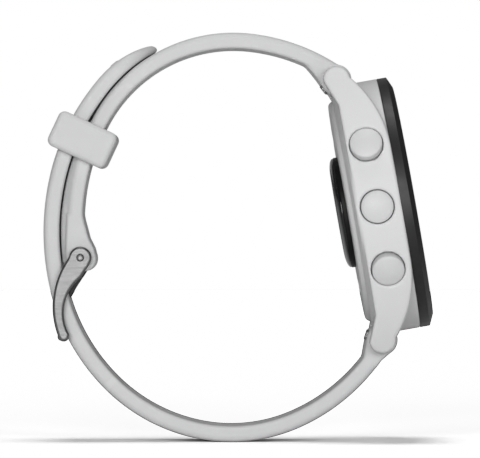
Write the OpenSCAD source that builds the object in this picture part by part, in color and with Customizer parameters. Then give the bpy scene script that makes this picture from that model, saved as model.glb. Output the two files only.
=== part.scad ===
// GPS running watch on its buckled silicone band.
//
// Watch frame: origin in the wrist opening, +X the way the dial faces, +Y toward 3 o'clock and along
// the forearm, +Z toward 12 o'clock. The whole watch then leans back by case_tilt about Y.
// Case frame: origin at the middle of the front face, x toward 3 o'clock, y toward 12 o'clock,
// z outward, so everything inside the case has a negative z.

/* [Stance] */
// How far the dial leans back from upright
case_tilt = 10; // [0:1:20]

/* [Case] */
// Diameter of the bezel and the round case body
case_d = 43; // [41:0.5:50]
// Distance of the front face from the centre of the wrist opening
case_face_x = 35; // [33:0.5:40]
// Thickness from the front face to the rear cover
case_t = 11.4; // [11.2:0.1:13.6]
// Depth of the bezel
bezel_t = 2.46; // [2.2:0.02:2.8]
// Depth of the bezel's chamfer
bezel_chamfer_t = 0.82; // [0.4:0.02:1]
// Width of the bezel's chamfer
bezel_chamfer_w = 1.8; // [1:0.1:2.2]
// Wall of the case body round the works
case_wall = 3.3; // [3:0.1:3.6]
// How far the case sides stand out past the round body at 9 and 3 o'clock
side_bulge = 0.1; // [0.05:0.05:0.5]
// Radius of each case side in the front view
side_plan_r = 43.3; // [40:0.1:50]
// Radius of the front edge that runs from the bezel down to each lug
lug_slope_r = 20; // [18:0.5:24]

/* [Lugs] */
// Distance of each spring bar from the middle of the case
bar_reach = 22.4; // [22.2:0.1:26]
// Depth of the spring bars behind the front face
bar_depth = 9.4; // [9:0.1:9.8]
// Radius of the lug tips
lug_tip_r = 2.25; // [2:0.05:2.5]
// Gap between the lugs
lug_gap = 20.3; // [18:0.1:22]

/* [Lens and display] */
// Diameter of the lens
lens_d = 36.2; // [34:0.1:37]
// Thickness of the lens
lens_t = 1.1; // [0.8:0.05:1.1]
// Diameter of the display panel
panel_d = 32.6; // [30:0.1:33]
// Thickness of the display panel
panel_t = 1.5; // [1:0.05:1.5]

/* [Rear cover and sensor] */
// Diameter of the rear cover
cover_d = 38.2; // [37.6:0.1:38.6]
// Diameter of the sensor bump
sensor_d = 19; // [17:0.5:21]
// Diameter of the flat top of the sensor bump
sensor_top_d = 14; // [12:0.5:15]
// Height of the sensor bump's dark ring
sensor_ring_t = 0.8; // [0.6:0.05:1]
// Height of the sensor bump's lens
sensor_lens_t = 0.85; // [0.6:0.05:1]
// Distance of the rear screws from the middle
screw_circle_r = 16.8; // [16.6:0.1:17]
// Diameter of the rear screws' threads
screw_d = 1.6; // [1.2:0.1:1.8]
// Pitch of the four charging contacts
contact_pitch = 1.6; // [1.3:0.1:1.8]

/* [Buttons] */
// Diameter of a button cap
button_d = 5.5; // [5:0.1:6.2]
// How far a cap stands out of the case side
button_proud = 1; // [0.8:0.1:1.4]
// Press travel of a button
button_travel = 0.6; // [0.4:0.1:0.7]
// Angle of the outer buttons from 9 and 3 o'clock
button_angle = 28; // [24:1:30]
// Depth of the button axes behind the front face
button_depth = 6.5; // [6.2:0.1:6.8]
// Diameter of a button stem
stem_d = 1.8; // [1.6:0.1:2]

/* [Band] */
// Width of the band
band_w = 20; // [18:0.5:20]
// Thickness of the band
band_t = 2.7; // [2.4:0.1:2.8]
// Radius of the band's outer shoulders
band_shoulder = 1.2; // [0.6:0.1:1.4]
// Radius of the band's ends round the spring bars
barrel_r = 2.6; // [2.4:0.1:2.6]
// Length of a fastening hole
hole_l = 5; // [4.8:0.1:5.2]
// Width of a fastening hole
hole_w = 2.6; // [2.4:0.1:3]
// Distance from one fastening hole to the next
hole_pitch = 7.2; // [6.8:0.1:8]

/* [Buckle] */
// Diameter of the buckle pin
pin_d = 1.5; // [1.2:0.1:1.6]
// Thickness of a buckle arm across the band
arm_w = 1.6; // [1.2:0.1:2]
// Width of the tongue
tongue_w = 2; // [1.6:0.1:2.2]

/* [Keeper] */
// Height of the keeper across both bands
keeper_h = 10.8; // [10.2:0.1:12]
// Length of the keeper along the band
keeper_l = 6.4; // [4:0.1:6.6]
// Side wall of the keeper
keeper_wall = 1.7; // [1.2:0.1:2]
// Corner radius of the keeper
keeper_corner = 1.2; // [0.8:0.1:1.5]

/* [Hidden] */
$fn = 96;

// Clearances
glue_gap = 0.1;
running_gap = 0.05;
free_gap = 0.3;
cut = 0.5;

// Case body
case_r = case_d / 2;
cavity_r = case_r - case_wall;
cover_r = cover_d / 2;
cover_t = 2.15;
cover_seat_z = -case_t + cover_t;
body_rear_z = -case_t + 1.3;
rim_rear_z = -case_t + 0.7;
front_bore_r = case_r - 1.6;
front_seat_z = -bezel_t - 1.14;
side_half_w = case_r + side_bulge;
side_offset = side_plan_r - side_half_w;
lug_reach = bar_reach + lug_tip_r;
bar_z = -bar_depth;
boss_r = 1.7;
boss_top_z = -5.6;
screw_head_r = 1.4;
screw_head_t = 0.8;
screw_socket_r = 0.7;
screw_socket_t = 0.5;
seal_r = 0.3;
seal_mid_r = cover_r - 0.45;

// Lens, display and works, by depth behind the front face
lens_r = lens_d / 2;
lens_z = -0.1;
ledge_z = lens_z - lens_t - 0.15;
ledge_w = 1.3;
panel_r = panel_d / 2;
panel_z = lens_z - lens_t - 0.05;
deck_z = -3;
deck_t = 0.6;
frame_r = cavity_r - free_gap;
frame_wall = 0.9;
board_z = -4.6;
board_t = 0.8;
board_r = cavity_r - 2.8;
works_z = board_z - board_t;
motor_at = [11.4, -1];
motor_r = 3.6;
motor_h = 2.7;
motor_wall = 0.3;
motor_hub_r = 1;
motor_weight_h = 1.5;
shaft_r = 0.4;
battery_x = [-10.6, 6.8];
battery_y = [-9.8, 4];
battery_h = 3.2;
can_x = [-5, 6];
can_y = [5.5, 13.5];
can_h = 1.3;
can_wall = 0.2;
buzzer_x = [-10.8, -6.4];
buzzer_y = [5.4, 9.8];
buzzer_h = 2;
buzzer_hole_r = 0.5;
flex_w = 6.4;
flex_y = -14.3;
flex_t = 0.3;
switch_r = 1.2;
switch_h = 0.7;
switch_flex_t = 0.4;
switch_flex_w = 2.8;

// Sensor
sensor_r = sensor_d / 2;
sensor_base_z = -case_t;
sensor_ring_z = sensor_base_z - sensor_ring_t;
sensor_top_z = sensor_ring_z - sensor_lens_t;
sensor_well_r = sensor_r - 2.7;
sensor_plug_r = sensor_r - 1.6;
led_at = 2.6;
led_l = 1.4;
led_w = 1.2;
led_z = sensor_base_z - 0.4;
contact_y = -13.2;
contact_r = 0.45;
recess_w = 6.8;
recess_h = 2.2;
recess_t = 0.6;

// Buttons, by distance from the case axis
button_r = button_d / 2;
pocket_r = button_r + 0.15;
pocket_depth = 1.8;
stem_r = stem_d / 2;
bush_r = stem_r + 0.6;
flange_r = 2;
flange_t = 0.25;
cap_skirt = 0.9;
cap_dome = 0.5;
clip_r = cavity_r - 0.6;
clip_t = 0.3;
groove_r = stem_r - 0.3;
seal_wire_r = (stem_r + running_gap - 0.01 - groove_r) / 2;
seal_at = cavity_r + 0.7;
stem_end = cavity_r - 1;
button_spring_r = 1.6;
spring_wire_r = 0.1;
spring_room_r = [button_spring_r - 0.35, button_spring_r + 0.55];
left_top = 180 - button_angle;
left_middle = 180;
left_bottom = 180 + button_angle;
right_top = button_angle;
right_bottom = -button_angle;
button_angles = [left_top, left_middle, left_bottom, right_top, right_bottom];

// Distance from the case axis to the case side, at an angle from 9 or 3 o'clock
function side_r(a) =
    let (c = abs(cos(a)), s = sin(a))
    sqrt(pow(side_plan_r, 2) - pow(side_offset * s, 2)) - side_offset * c;

// Spring bars, in the side view
bar_x = case_face_x - bar_depth;
bar_r = 0.8;
bar_bore_r = 0.5;
bar_half_l = lug_gap / 2 - 0.35;
bar_tip_r = 0.4;
lug_hole_r = bar_tip_r + running_gap;
lug_hole_l = 1.25;
release_travel = 1.3;
release_stop = 1;
release_spring_r = 0.33;
release_wire_r = 0.08;
knob_at = 5.2;
knob_turn = 28;
knob_r = 0.9;
knob_in = 1.9;
knob_out = 2.9;
knob_stem_r = 0.3;
knob_room_r = sqrt(pow(knob_out, 2) + pow(knob_r, 2)) + glue_gap;
pin_tail = 1.2;

// Band arcs, each [radius of the outer face, angle], from the case toward the buckle
upper_start = [case_face_x - 8.0, bar_reach + 1.9];
upper_heading = 135.6;
upper_arcs = [[34.1, 28.4], [26.9, 67.1], [37.8, 29.9]];
lower_start = [case_face_x - 10.2, bar_reach + 3.45];
lower_heading = 135.2;
lower_arcs = [
    [33.6, 30.8], [28.6, 34.8], [30.8, 33.8], [34.9, 30.3], [42.5, 28.2], [38.8, 28], [18, 35.6]
];
band_edge = 0.3;
lap = 0.4;
sliver = 0.01;
tip_r = band_w / 2 - 0.01;

// Raised ridge across the outside of the tail
ridge_from_tip = 7.9;
ridge_l = 1.8;
ridge_w = 7;
ridge_t = 0.25;

function arc_length(arcs, i = 0) =
    i == len(arcs) ? 0 : arcs[i][0] * arcs[i][1] * PI / 180 + arc_length(arcs, i + 1);
lower_length = arc_length(lower_arcs);
buckled_hole_s = 70.7;
holes_before = 4;
holes_after = floor((lower_length - buckled_hole_s - 12) / hole_pitch);

// Point and heading on a band's outer face, after a length s of its arcs
function point_after(p, h, r, a) = [
    p[0] - r * sin(h) + r * sin(h + a),
    p[1] + r * cos(h) - r * cos(h + a)
];
function chain_end(p, h, arcs, i = 0) =
    i == len(arcs) ? [p[0], p[1], h]
    : chain_end(point_after(p, h, arcs[i][0], arcs[i][1]), h + arcs[i][1], arcs, i + 1);
upper_end = chain_end(upper_start, upper_heading, upper_arcs);
lower_end = [lower_start[0], lower_start[1], lower_heading];
upper_bend = chain_end(upper_start, upper_heading, [upper_arcs[0]]);
crown_r = upper_arcs[1][0];
crown_axis = inside(upper_bend, 0, crown_r);
// Wedge from the barrel to the upper band's inner face
wedge_l = 6;
wedge_turn = 20;
wedge_end = chain_end(
    upper_start, upper_heading, [[upper_arcs[0][0], wedge_l / upper_arcs[0][0] * 180 / PI]]
);
wedge_in = upper_heading + 90 - wedge_turn;
tail_gap = 0.25;

// Point that lies ahead of a band's end and a depth below its outer face
function inside(end, ahead, depth) = [
    end[0] + ahead * cos(end[2]) - depth * sin(end[2]),
    end[1] + ahead * sin(end[2]) + depth * cos(end[2])
];

// Swell of the upper band, about the axis of the tail's arc that lies on it
tail_arc = chain_end(lower_start, lower_heading, [for (i = [0:3]) lower_arcs[i]]);
tail_arc_axis = inside(tail_arc, 0, lower_arcs[4][0]);
swell_axis = [tail_arc_axis[0], -tail_arc_axis[1]];
swell_r = lower_arcs[4][0] - band_t - tail_gap;
swell_t = 2.2;
swell_half_w = band_w / 2 - 0.9;
swell_from = 148;
swell_to = 178;

// Buckle, from its pin in the side view
pin_at = [upper_end[0] + 1.35, upper_end[1] - 5.72];
lug_end_at = pin_at + [0.5, -0.3];
lug_end_r = 2.1;
tongue_slot_w = tongue_w + 0.8;
tongue_hub_r = 1.55;
frame_gap = 0.3;
arm_in = band_w / 2 + frame_gap;
arm_out = arm_in + arm_w;
pin_r = pin_d / 2;
pin_end_r = pin_r - 0.25;
pin_half_l = arm_out + 0.1;
arm_head_r = 1.9;
arm_back = [8, -9.75];
arm_back_r = 14.2;
arm_hollow = [3.1, -10.05];
arm_hollow_r = 7.6;
arm_end = [-5.05, -12.6];
arm_end_r = 0.85;
bar_rest = [-5.5, -12.65];
bar_rest_r = 0.6;

// Keeper, on the upper band's last arc in the side view
keeper_bore_in = 3.2;
keeper_bore_out = 3.85;
keeper_turn = 145;
keeper_angle = 148.3;
keeper_r = upper_arcs[2][0];
keeper_axis = inside(upper_end, 0, keeper_r);
keeper_at = keeper_axis + keeper_r * [cos(keeper_angle), sin(keeper_angle)];
keeper_half_w = band_w / 2 + 0.35;

// ---------------------------------------------------------------- frames

module watch() rotate([0, -case_tilt, 0]) children();

module on_case() watch() translate([case_face_x, 0, 0]) rotate([90, 0, 90]) children();

// Side view: x is the watch's X, y is the watch's Z, and depth runs both ways along Y
module side() watch() rotate([90, 0, 0]) children();

// Button frame: z runs outward along the button's axis, from the case axis
module at_button(a) on_case() translate([0, 0, -button_depth]) rotate([0, 0, a]) rotate([0, 90, 0])
    children();

module disc(r, z0, z1) translate([0, 0, z0]) cylinder(r = r, h = z1 - z0);

module ring(r_out, r_in, z0, z1) difference() {
    disc(r_out, z0, z1);
    disc(r_in, z0 - cut, z1 + cut);
}

module slab(x0, x1, y0, y1, z0, z1) translate([x0, y0, z0]) cube([x1 - x0, y1 - y0, z1 - z0]);

module across(w) translate([0, 0, -w / 2]) linear_extrude(w) children();

// Round wire coil standing on z = 0
function coil_ring(r, wire, a, z, sides) = [
    for (k = [0:sides - 1]) let (b = 360 * k / sides, q = r + wire * cos(b))
        [q * cos(a), q * sin(a), z + wire * sin(b)]
];
module coil(r, wire, h, turns) {
    sides = 8;
    steps = turns * 14;
    rise = h - 2 * wire;
    points = [
        for (i = [0:steps]) each coil_ring(r, wire, 360 * turns * i / steps, wire + rise * i / steps, sides)
    ];
    walls = [
        for (i = [0:steps - 1], k = [0:sides - 1]) let (n = (k + 1) % sides)
            [i * sides + k, (i + 1) * sides + k, (i + 1) * sides + n, i * sides + n]
    ];
    start = [for (k = [0:sides - 1]) k];
    end = [for (k = [0:sides - 1]) steps * sides + sides - 1 - k];
    polyhedron(points, concat(walls, [start, end]));
}

// ---------------------------------------------------------------- case front

module bezel() color("#2a2a2d") on_case() rotate_extrude() {
    polygon([
        [lens_r + glue_gap, 0], [case_r - bezel_chamfer_w, 0], [case_r, -bezel_chamfer_t],
        [case_r, -bezel_t], [front_bore_r - glue_gap, -bezel_t], [front_bore_r - glue_gap, -bezel_t - 0.5],
        [cavity_r + 0.2, -bezel_t - 0.5], [cavity_r + 0.2, -bezel_t],
        [lens_r - ledge_w, -bezel_t], [lens_r - ledge_w, ledge_z], [lens_r + glue_gap, ledge_z]
    ]);
}

module lens() color("#101418") on_case() rotate_extrude() polygon([
    [0, lens_z - lens_t], [lens_r, lens_z - lens_t], [lens_r, lens_z - 0.2],
    [lens_r - 0.2, lens_z], [0, lens_z]
]);

module lens_gasket() color("#3a3a3c") on_case()
    ring(lens_r, lens_r - ledge_w + 0.1, ledge_z, lens_z - lens_t);

module display_panel() color("#16202a") on_case() disc(panel_r, panel_z - panel_t, panel_z);

module display_flex() color("#b5651d") on_case() {
    slab(-flex_w / 2, flex_w / 2, flex_y, flex_y + flex_t, board_z, deck_z + 0.2);
    slab(-flex_w / 2, flex_w / 2, flex_y, flex_y + 3.3, deck_z + 0.05, panel_z - panel_t);
}

module antenna_ring() color("#c8a24a") on_case()
    ring(front_bore_r - 0.2, cavity_r + 0.2, front_seat_z, -bezel_t - 0.6);

// ---------------------------------------------------------------- case shell

module case_plan() intersection() {
    translate([-side_offset, 0]) circle(r = side_plan_r);
    translate([side_offset, 0]) circle(r = side_plan_r);
    square([4 * case_r, 2 * lug_reach], center = true);
}

// Half of the side wall's outline, x toward 12 o'clock and y outward from the rear
module side_outline_half() {
    slope_x = lug_reach - 15.15;
    square_rear = body_rear_z + 0.2;
    difference() {
        union() {
            translate([0, square_rear]) square([slope_x, -bezel_t - square_rear]);
            intersection() {
                translate([slope_x, -bezel_t - lug_slope_r]) circle(r = lug_slope_r);
                translate([slope_x, bar_z - lug_tip_r])
                    square([bar_reach - slope_x, -bezel_t - bar_z + lug_tip_r]);
            }
            translate([bar_reach, bar_z]) circle(r = lug_tip_r);
        }
        polygon([
            [-1, bar_z - lug_tip_r - 1], [bar_reach, bar_z - lug_tip_r - 1], [bar_reach, bar_z - lug_tip_r],
            [bar_reach - 4.4, square_rear], [-1, square_rear]
        ]);
    }
}

module sides() intersection() {
    translate([0, 0, -case_t - 2]) linear_extrude(case_t) case_plan();
    rotate([90, 0, 90]) across(4 * case_r) {
        side_outline_half();
        mirror([1, 0]) side_outline_half();
    }
}

module boss_places() for (a = [45:90:315]) rotate(a) translate([screw_circle_r, 0, 0]) children();

module band_pocket() {
    rotate([90, 0, 90]) across(lug_gap) {
        translate([bar_reach, bar_z]) circle(r = barrel_r + free_gap);
        translate([bar_reach, bar_z - 6]) square([6, 16]);
    }
    for (s = [-1, 1]) translate([s * (lug_gap / 2 + lug_hole_l / 2), bar_reach, bar_z])
        rotate([0, 90, 0]) cylinder(r = lug_hole_r, h = lug_hole_l + 0.2, center = true);
    translate([-knob_at - knob_r - free_gap, bar_reach, bar_z]) rotate([0, 90, 0])
        cylinder(r = knob_room_r, h = release_travel + 2 * (knob_r + free_gap));
}

module case_shell() color("#d2d3d5") {
    on_case() difference() {
        union() {
            disc(case_r, body_rear_z, -bezel_t);
            translate([0, 0, rim_rear_z])
                cylinder(r1 = cover_r + 0.3, r2 = case_r - 0.2, h = body_rear_z - rim_rear_z);
            sides();
        }
        disc(front_bore_r, front_seat_z, cut);
        disc(cover_r + glue_gap, -case_t - cut, cover_seat_z);
        difference() {
            disc(cavity_r, cover_seat_z - cut, front_seat_z + cut);
            boss_places() disc(boss_r, cover_seat_z, boss_top_z);
        }
        boss_places() disc(screw_d / 2, cover_seat_z - cut, boss_top_z - 0.4);
        band_pocket();
        mirror([0, 1, 0]) band_pocket();
        for (a = button_angles) translate([0, 0, -button_depth]) rotate([0, 0, a]) rotate([0, 90, 0]) {
            disc(pocket_r, side_r(a) - pocket_depth, case_r + 6);
            disc(bush_r + 0.02, cavity_r - 2, case_r);
        }
    }
}

// ---------------------------------------------------------------- works

module inner_frame() color("#5a5d60") on_case() difference() {
    union() {
        disc(frame_r, deck_z - deck_t, deck_z);
        ring(frame_r, frame_r - frame_wall, cover_seat_z + 0.2, deck_z);
    }
    slab(-flex_w / 2 - 0.8, flex_w / 2 + 0.8, flex_y - 0.9, flex_y + 1.3, deck_z - 2, deck_z + cut);
    boss_places() disc(boss_r + free_gap, cover_seat_z - 1, boss_top_z + free_gap);
    for (a = button_angles) translate([0, 0, -button_depth]) rotate([0, 0, a]) rotate([0, 90, 0])
        disc(2.3, cavity_r - 4, cavity_r + 1);
}

module main_board() color("#1d6b3a") on_case() difference() {
    disc(board_r, board_z - board_t, board_z);
    boss_places() disc(boss_r + free_gap, works_z - 1, board_z + 1);
}

module shield_can() color("#c9ccd0") on_case() difference() {
    slab(can_x[0], can_x[1], can_y[0], can_y[1], works_z - can_h, works_z);
    slab(
        can_x[0] + can_wall, can_x[1] - can_wall, can_y[0] + can_wall, can_y[1] - can_wall,
        works_z - can_h + can_wall, works_z + cut
    );
}

module battery() color("#3f6fa8") on_case() translate([0, 0, works_z - 0.1])
    slab(battery_x[0], battery_x[1], battery_y[0], battery_y[1], -battery_h, 0);

module buzzer() color("#222222") on_case() difference() {
    slab(buzzer_x[0], buzzer_x[1], buzzer_y[0], buzzer_y[1], works_z - buzzer_h, works_z);
    translate([(buzzer_x[0] + buzzer_x[1]) / 2, (buzzer_y[0] + buzzer_y[1]) / 2, works_z - buzzer_h])
        disc(buzzer_hole_r, -cut, 0.6);
}

module at_motor() on_case() translate([motor_at[0], motor_at[1], works_z - motor_h]) children();

module vibration_motor() color("#b8bcc2") at_motor() {
    difference() {
        disc(motor_r, 0, motor_h);
        disc(motor_r - motor_wall, motor_wall, motor_h - motor_wall);
    }
    disc(shaft_r, motor_wall - 0.1, motor_h - motor_wall + 0.1);
}

module motor_weight() color("#8d9299") at_motor() translate([0, 0, (motor_h - motor_weight_h) / 2])
    difference() {
        union() {
            intersection() {
                disc(motor_r - 2 * motor_wall, 0, motor_weight_h);
                slab(-motor_r, motor_r, 0, motor_r, -cut, motor_weight_h + cut);
            }
            disc(motor_hub_r, 0, motor_weight_h);
        }
        disc(shaft_r + running_gap, -cut, motor_weight_h + cut);
    }

module switches(angles, mid) color("#b5651d") on_case() {
    flex_r = stem_end - button_travel - 0.95;
    reach = button_angle + 8;
    translate([0, 0, -button_depth - switch_flex_w / 2]) rotate(mid - reach)
        rotate_extrude(angle = 2 * reach) translate([flex_r, 0]) square([switch_flex_t, switch_flex_w]);
    for (a = angles) translate([0, 0, -button_depth]) rotate([0, 0, a]) rotate([0, 90, 0])
        disc(switch_r, flex_r + switch_flex_t / 2, flex_r + switch_flex_t / 2 + switch_h);
}

module left_switches() switches([left_top, left_middle, left_bottom], 180);

module right_switches() switches([right_top, right_bottom], 0);

// ---------------------------------------------------------------- rear

module rear_cover() color("#c4c6c9") on_case() difference() {
    union() {
        disc(cover_r, rim_rear_z, cover_seat_z - 0.05);
        translate([0, 0, -case_t]) cylinder(r1 = cover_r - 0.6, r2 = cover_r, h = rim_rear_z + case_t);
    }
    ring(board_r - 0.8, sensor_plug_r + 1.2, cover_seat_z - 0.95, cover_seat_z + cut);
    disc(sensor_plug_r + glue_gap, -case_t - cut, cover_seat_z + cut);
    difference() {
        disc(seal_mid_r + seal_r, cover_seat_z - 2 * seal_r, cover_seat_z + cut);
        disc(seal_mid_r - seal_r, cover_seat_z - 1, cover_seat_z + 1);
    }
    boss_places() {
        disc(screw_head_r + 0.1, -case_t - cut, -case_t + screw_head_t + 0.1);
        disc(screw_d / 2 + 0.1, -case_t, cover_seat_z + cut);
    }
    slab(
        -recess_w / 2, recess_w / 2, contact_y - recess_h / 2, contact_y + recess_h / 2,
        -case_t - cut, -case_t + recess_t
    );
    for (i = [-1.5:1:1.5]) translate([i * contact_pitch, contact_y, 0])
        disc(contact_r, -case_t, cover_seat_z + cut);
}

module rear_cover_seal() color("#262626") on_case() translate([0, 0, cover_seat_z - seal_r])
    rotate_extrude() translate([seal_mid_r, 0]) circle(r = seal_r - 0.03);

module rear_cover_screws() color("#8f959b") on_case() boss_places() difference() {
    union() {
        disc(screw_head_r, -case_t + 0.1, -case_t + 0.1 + screw_head_t);
        disc(screw_d / 2, -case_t + 0.3, boss_top_z - 0.6);
    }
    translate([0, 0, -case_t]) cylinder(r = screw_socket_r, h = screw_socket_t, $fn = 6);
}

module sensor_housing() color("#2c2d30") on_case() difference() {
    union() {
        disc(sensor_r, sensor_ring_z, sensor_base_z);
        disc(sensor_plug_r, sensor_ring_z, sensor_base_z + 1.1);
    }
    disc(sensor_well_r, sensor_ring_z - cut, sensor_base_z + 2);
}

module sensor_lens() color("#0b0b0d") on_case() rotate_extrude() {
    edge = (sensor_d - sensor_top_d) / 2 - 0.1;
    polygon(concat(
        [[0, sensor_ring_z], [sensor_r - 0.1, sensor_ring_z]],
        [for (i = [0:10]) let (a = 9 * i) [
            sensor_r - 0.1 - edge + edge * cos(a),
            sensor_ring_z - 0.05 - (sensor_lens_t - 0.05) * sin(a)
        ]],
        [[0, sensor_top_z]]
    ));
}

module sensor_board() color("#1d6b3a") on_case()
    disc(sensor_well_r - glue_gap, sensor_base_z + 0.1, sensor_base_z + 0.6);

module sensor_leds() color("#3fae5a") on_case() {
    for (a = [0:90:270]) rotate(a)
        slab(led_at, led_at + led_l, -led_w / 2, led_w / 2, led_z, sensor_base_z + 0.1);
    slab(-1, 1, -0.9, 0.9, led_z, sensor_base_z + 0.1);
}

module charge_contacts() color("#d8b35a") on_case()
    for (i = [-1.5:1:1.5]) translate([i * contact_pitch, contact_y, 0])
        disc(contact_r, -case_t + 0.45, cover_seat_z - 0.3);

// ---------------------------------------------------------------- buttons

module button_bushes() color("#a9adb2") for (a = button_angles) at_button(a) {
    floor_at = side_r(a) - pocket_depth;
    difference() {
        union() {
            disc(bush_r, cavity_r + 0.1, floor_at + flange_t);
            disc(flange_r, floor_at, floor_at + flange_t);
        }
        disc(stem_r + running_gap, cavity_r - 1, floor_at + 2);
    }
}

module button(a) color("#cdcfd1") at_button(a) {
    face = side_r(a);
    dome_r = (pow(button_r, 2) + pow(cap_dome, 2)) / (2 * cap_dome);
    difference() {
        union() {
            disc(button_r, face - cap_skirt, face + button_proud - cap_dome);
            intersection() {
                disc(button_r, face, face + button_proud);
                translate([0, 0, face + button_proud - dome_r]) sphere(r = dome_r, $fn = 200);
            }
        }
        ring(spring_room_r[1], spring_room_r[0], face - cap_skirt - cut, face);
    }
    difference() {
        disc(stem_r, stem_end, face);
        ring(stem_r + 1, groove_r, seal_at - seal_wire_r, seal_at + seal_wire_r);
        ring(stem_r + 1, groove_r, clip_r - clip_t / 2, clip_r + clip_t / 2);
    }
}

module seal(a) color("#262626") at_button(a) translate([0, 0, seal_at])
    rotate_extrude() translate([groove_r + seal_wire_r, 0]) circle(r = seal_wire_r);

module clip(a) color("#8f959b") at_button(a) difference() {
    ring(stem_r + 0.7, groove_r, clip_r - clip_t / 2 + 0.02, clip_r + clip_t / 2 - 0.02);
    slab(0, 3, -0.45, 0.45, clip_r - 1, clip_r + 1);
}

module button_spring(a) color("#9aa0a6") at_button(a) {
    floor_at = side_r(a) - pocket_depth + flange_t;
    translate([0, 0, floor_at + 0.02])
        coil(button_spring_r, spring_wire_r, pocket_depth - flange_t - 0.05, 3);
}

module button_left_top() button(left_top);
module button_left_middle() button(left_middle);
module button_left_bottom() button(left_bottom);
module button_right_top() button(right_top);
module button_right_bottom() button(right_bottom);
module seal_left_top() seal(left_top);
module seal_left_middle() seal(left_middle);
module seal_left_bottom() seal(left_bottom);
module seal_right_top() seal(right_top);
module seal_right_bottom() seal(right_bottom);
module clip_left_top() clip(left_top);
module clip_left_middle() clip(left_middle);
module clip_left_bottom() clip(left_bottom);
module clip_right_top() clip(right_top);
module clip_right_bottom() clip(right_bottom);
module spring_left_top() button_spring(left_top);
module spring_left_middle() button_spring(left_middle);
module spring_left_bottom() button_spring(left_bottom);
module spring_right_top() button_spring(right_top);
module spring_right_bottom() button_spring(right_bottom);

// ---------------------------------------------------------------- band

// Cross-section of the band, with its outer face at x = -inset and its inner face near x = -band_t
module band_profile(inset) difference() {
    half = band_w / 2 - inset;
    translate([-band_t + inset, -half]) square([band_t - 2 * inset, 2 * half]);
    for (s = [0, 1]) mirror([0, s]) {
        translate([-inset - band_shoulder, half - band_shoulder]) difference() {
            square(band_shoulder + 1);
            circle(r = band_shoulder);
        }
        translate([-band_t + inset + band_edge, half - band_edge]) rotate(90) difference() {
            square(band_edge + 1);
            circle(r = band_edge);
        }
    }
}

module past_arc(r, a) translate([0, r, 0]) rotate(a) translate([0, -r, 0]) children();

module band_arc(r, a, inset, before, after) {
    lead = before / r * 180 / PI;
    tail = after / r * 180 / PI;
    translate([0, r, 0]) rotate(-90 - lead) rotate_extrude(angle = a + lead + tail)
        translate([r, 0]) band_profile(inset);
}

// Every second arc is a hair slimmer and runs into its neighbours, so that they join as one solid
module band_chain(arcs, i = 0) {
    slim = i % 2;
    band_arc(arcs[i][0], arcs[i][1], slim * sliver, slim * lap, slim * (i + 1 < len(arcs) ? lap : 0));
    if (i + 1 < len(arcs)) past_arc(arcs[i][0], arcs[i][1]) band_chain(arcs, i + 1);
}

module along(arcs, s, i = 0) {
    r = arcs[i][0];
    arc_l = r * arcs[i][1] * PI / 180;
    if (s <= arc_l || i + 1 == len(arcs)) past_arc(r, s / r * 180 / PI) children();
    else past_arc(r, arcs[i][1]) along(arcs, s - arc_l, i + 1) children();
}

// Round-ended slot through the band, its length along the band
module band_hole() translate([0, band_t + 1, 0]) rotate([90, 0, 0]) {
    reach = (hole_l - hole_w) / 2;
    h = band_t + 2;
    translate([-reach, 0, 0]) cylinder(r = hole_w / 2, h = h);
    translate([reach, 0, 0]) cylinder(r = hole_w / 2, h = h);
    translate([-reach, -hole_w / 2, 0]) cube([2 * reach, hole_w, h]);
}

// Bore for the spring bar, and the slot that the release knob slides in
module bar_cuts() {
    across(band_w + 2) translate([bar_x, bar_reach]) circle(r = bar_r + running_gap);
    translate([bar_x, bar_reach, 0]) rotate(180 + knob_turn) {
        y0 = knob_at - release_travel - knob_r - 0.3;
        y1 = knob_at + knob_r + 0.3;
        translate([0, -knob_stem_r - 0.25, y0]) cube([8, 2 * knob_stem_r + 0.5, y1 - y0]);
        translate([knob_in - 0.2, -knob_r - 0.3, y0]) cube([8, 2 * knob_r + 0.6, y1 - y0]);
    }
}

// The upper band swells below the keeper, up to the tail that lies on it
module band_swell() translate(swell_axis) rotate(swell_from) rotate_extrude(angle = swell_to - swell_from)
    translate([swell_r, 0]) difference() {
        translate([-swell_t, -swell_half_w]) square([swell_t, 2 * swell_half_w]);
        for (s = [0, 1]) mirror([0, s]) translate([-band_shoulder, swell_half_w - band_shoulder])
            difference() {
                square(band_shoulder + 1);
                circle(r = band_shoulder);
            }
    }

module upper_strap() color("#cfd1d3") side() difference() {
    union() {
        across(band_w - 0.2) {
            translate([bar_x, bar_reach]) circle(r = barrel_r);
            polygon([
                [bar_x, bar_reach] + barrel_r * [cos(wedge_in), sin(wedge_in)],
                inside(wedge_end, 0, band_t - 2 * sliver), inside(wedge_end, 0, band_t / 2), [bar_x, bar_reach]
            ]);
        }
        translate([upper_start[0], upper_start[1], 0]) rotate(upper_heading) band_chain(upper_arcs);
        across(band_w - 2 * sliver) {
            polygon([
                inside(upper_end, -lap, sliver), pin_at + [-2.2, 1.9], pin_at + [-2.45, 0.2],
                lug_end_at + [-1.6, -1.36], lug_end_at + [lug_end_r, 0],
                lug_end_at + [lug_end_r - 0.1, 1.5], lug_end_at + [1.45, 3.3],
                inside(upper_end, -lap, band_t - sliver)
            ]);
            translate(lug_end_at) circle(r = lug_end_r);
        }
        band_swell();
    }
    bar_cuts();
    across(band_w + 2) translate(pin_at) circle(r = pin_r + running_gap);
    across(tongue_slot_w) translate(pin_at) {
        circle(r = tongue_hub_r + 0.4);
        translate([-6, -8]) square([12, 8 + tongue_hub_r]);
    }
}

// The tail is hollowed where it lies down on the upper band
module lower_strap() color("#cfd1d3") side() difference() {
    mirror([0, 1, 0]) lower_band();
    intersection() {
        across(2 * band_w) translate(crown_axis) circle(r = crown_r + tail_gap);
        across(2 * band_w) translate(crown_axis + [-0.7 * crown_r, crown_r / 2]) square(crown_r);
    }
}

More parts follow.
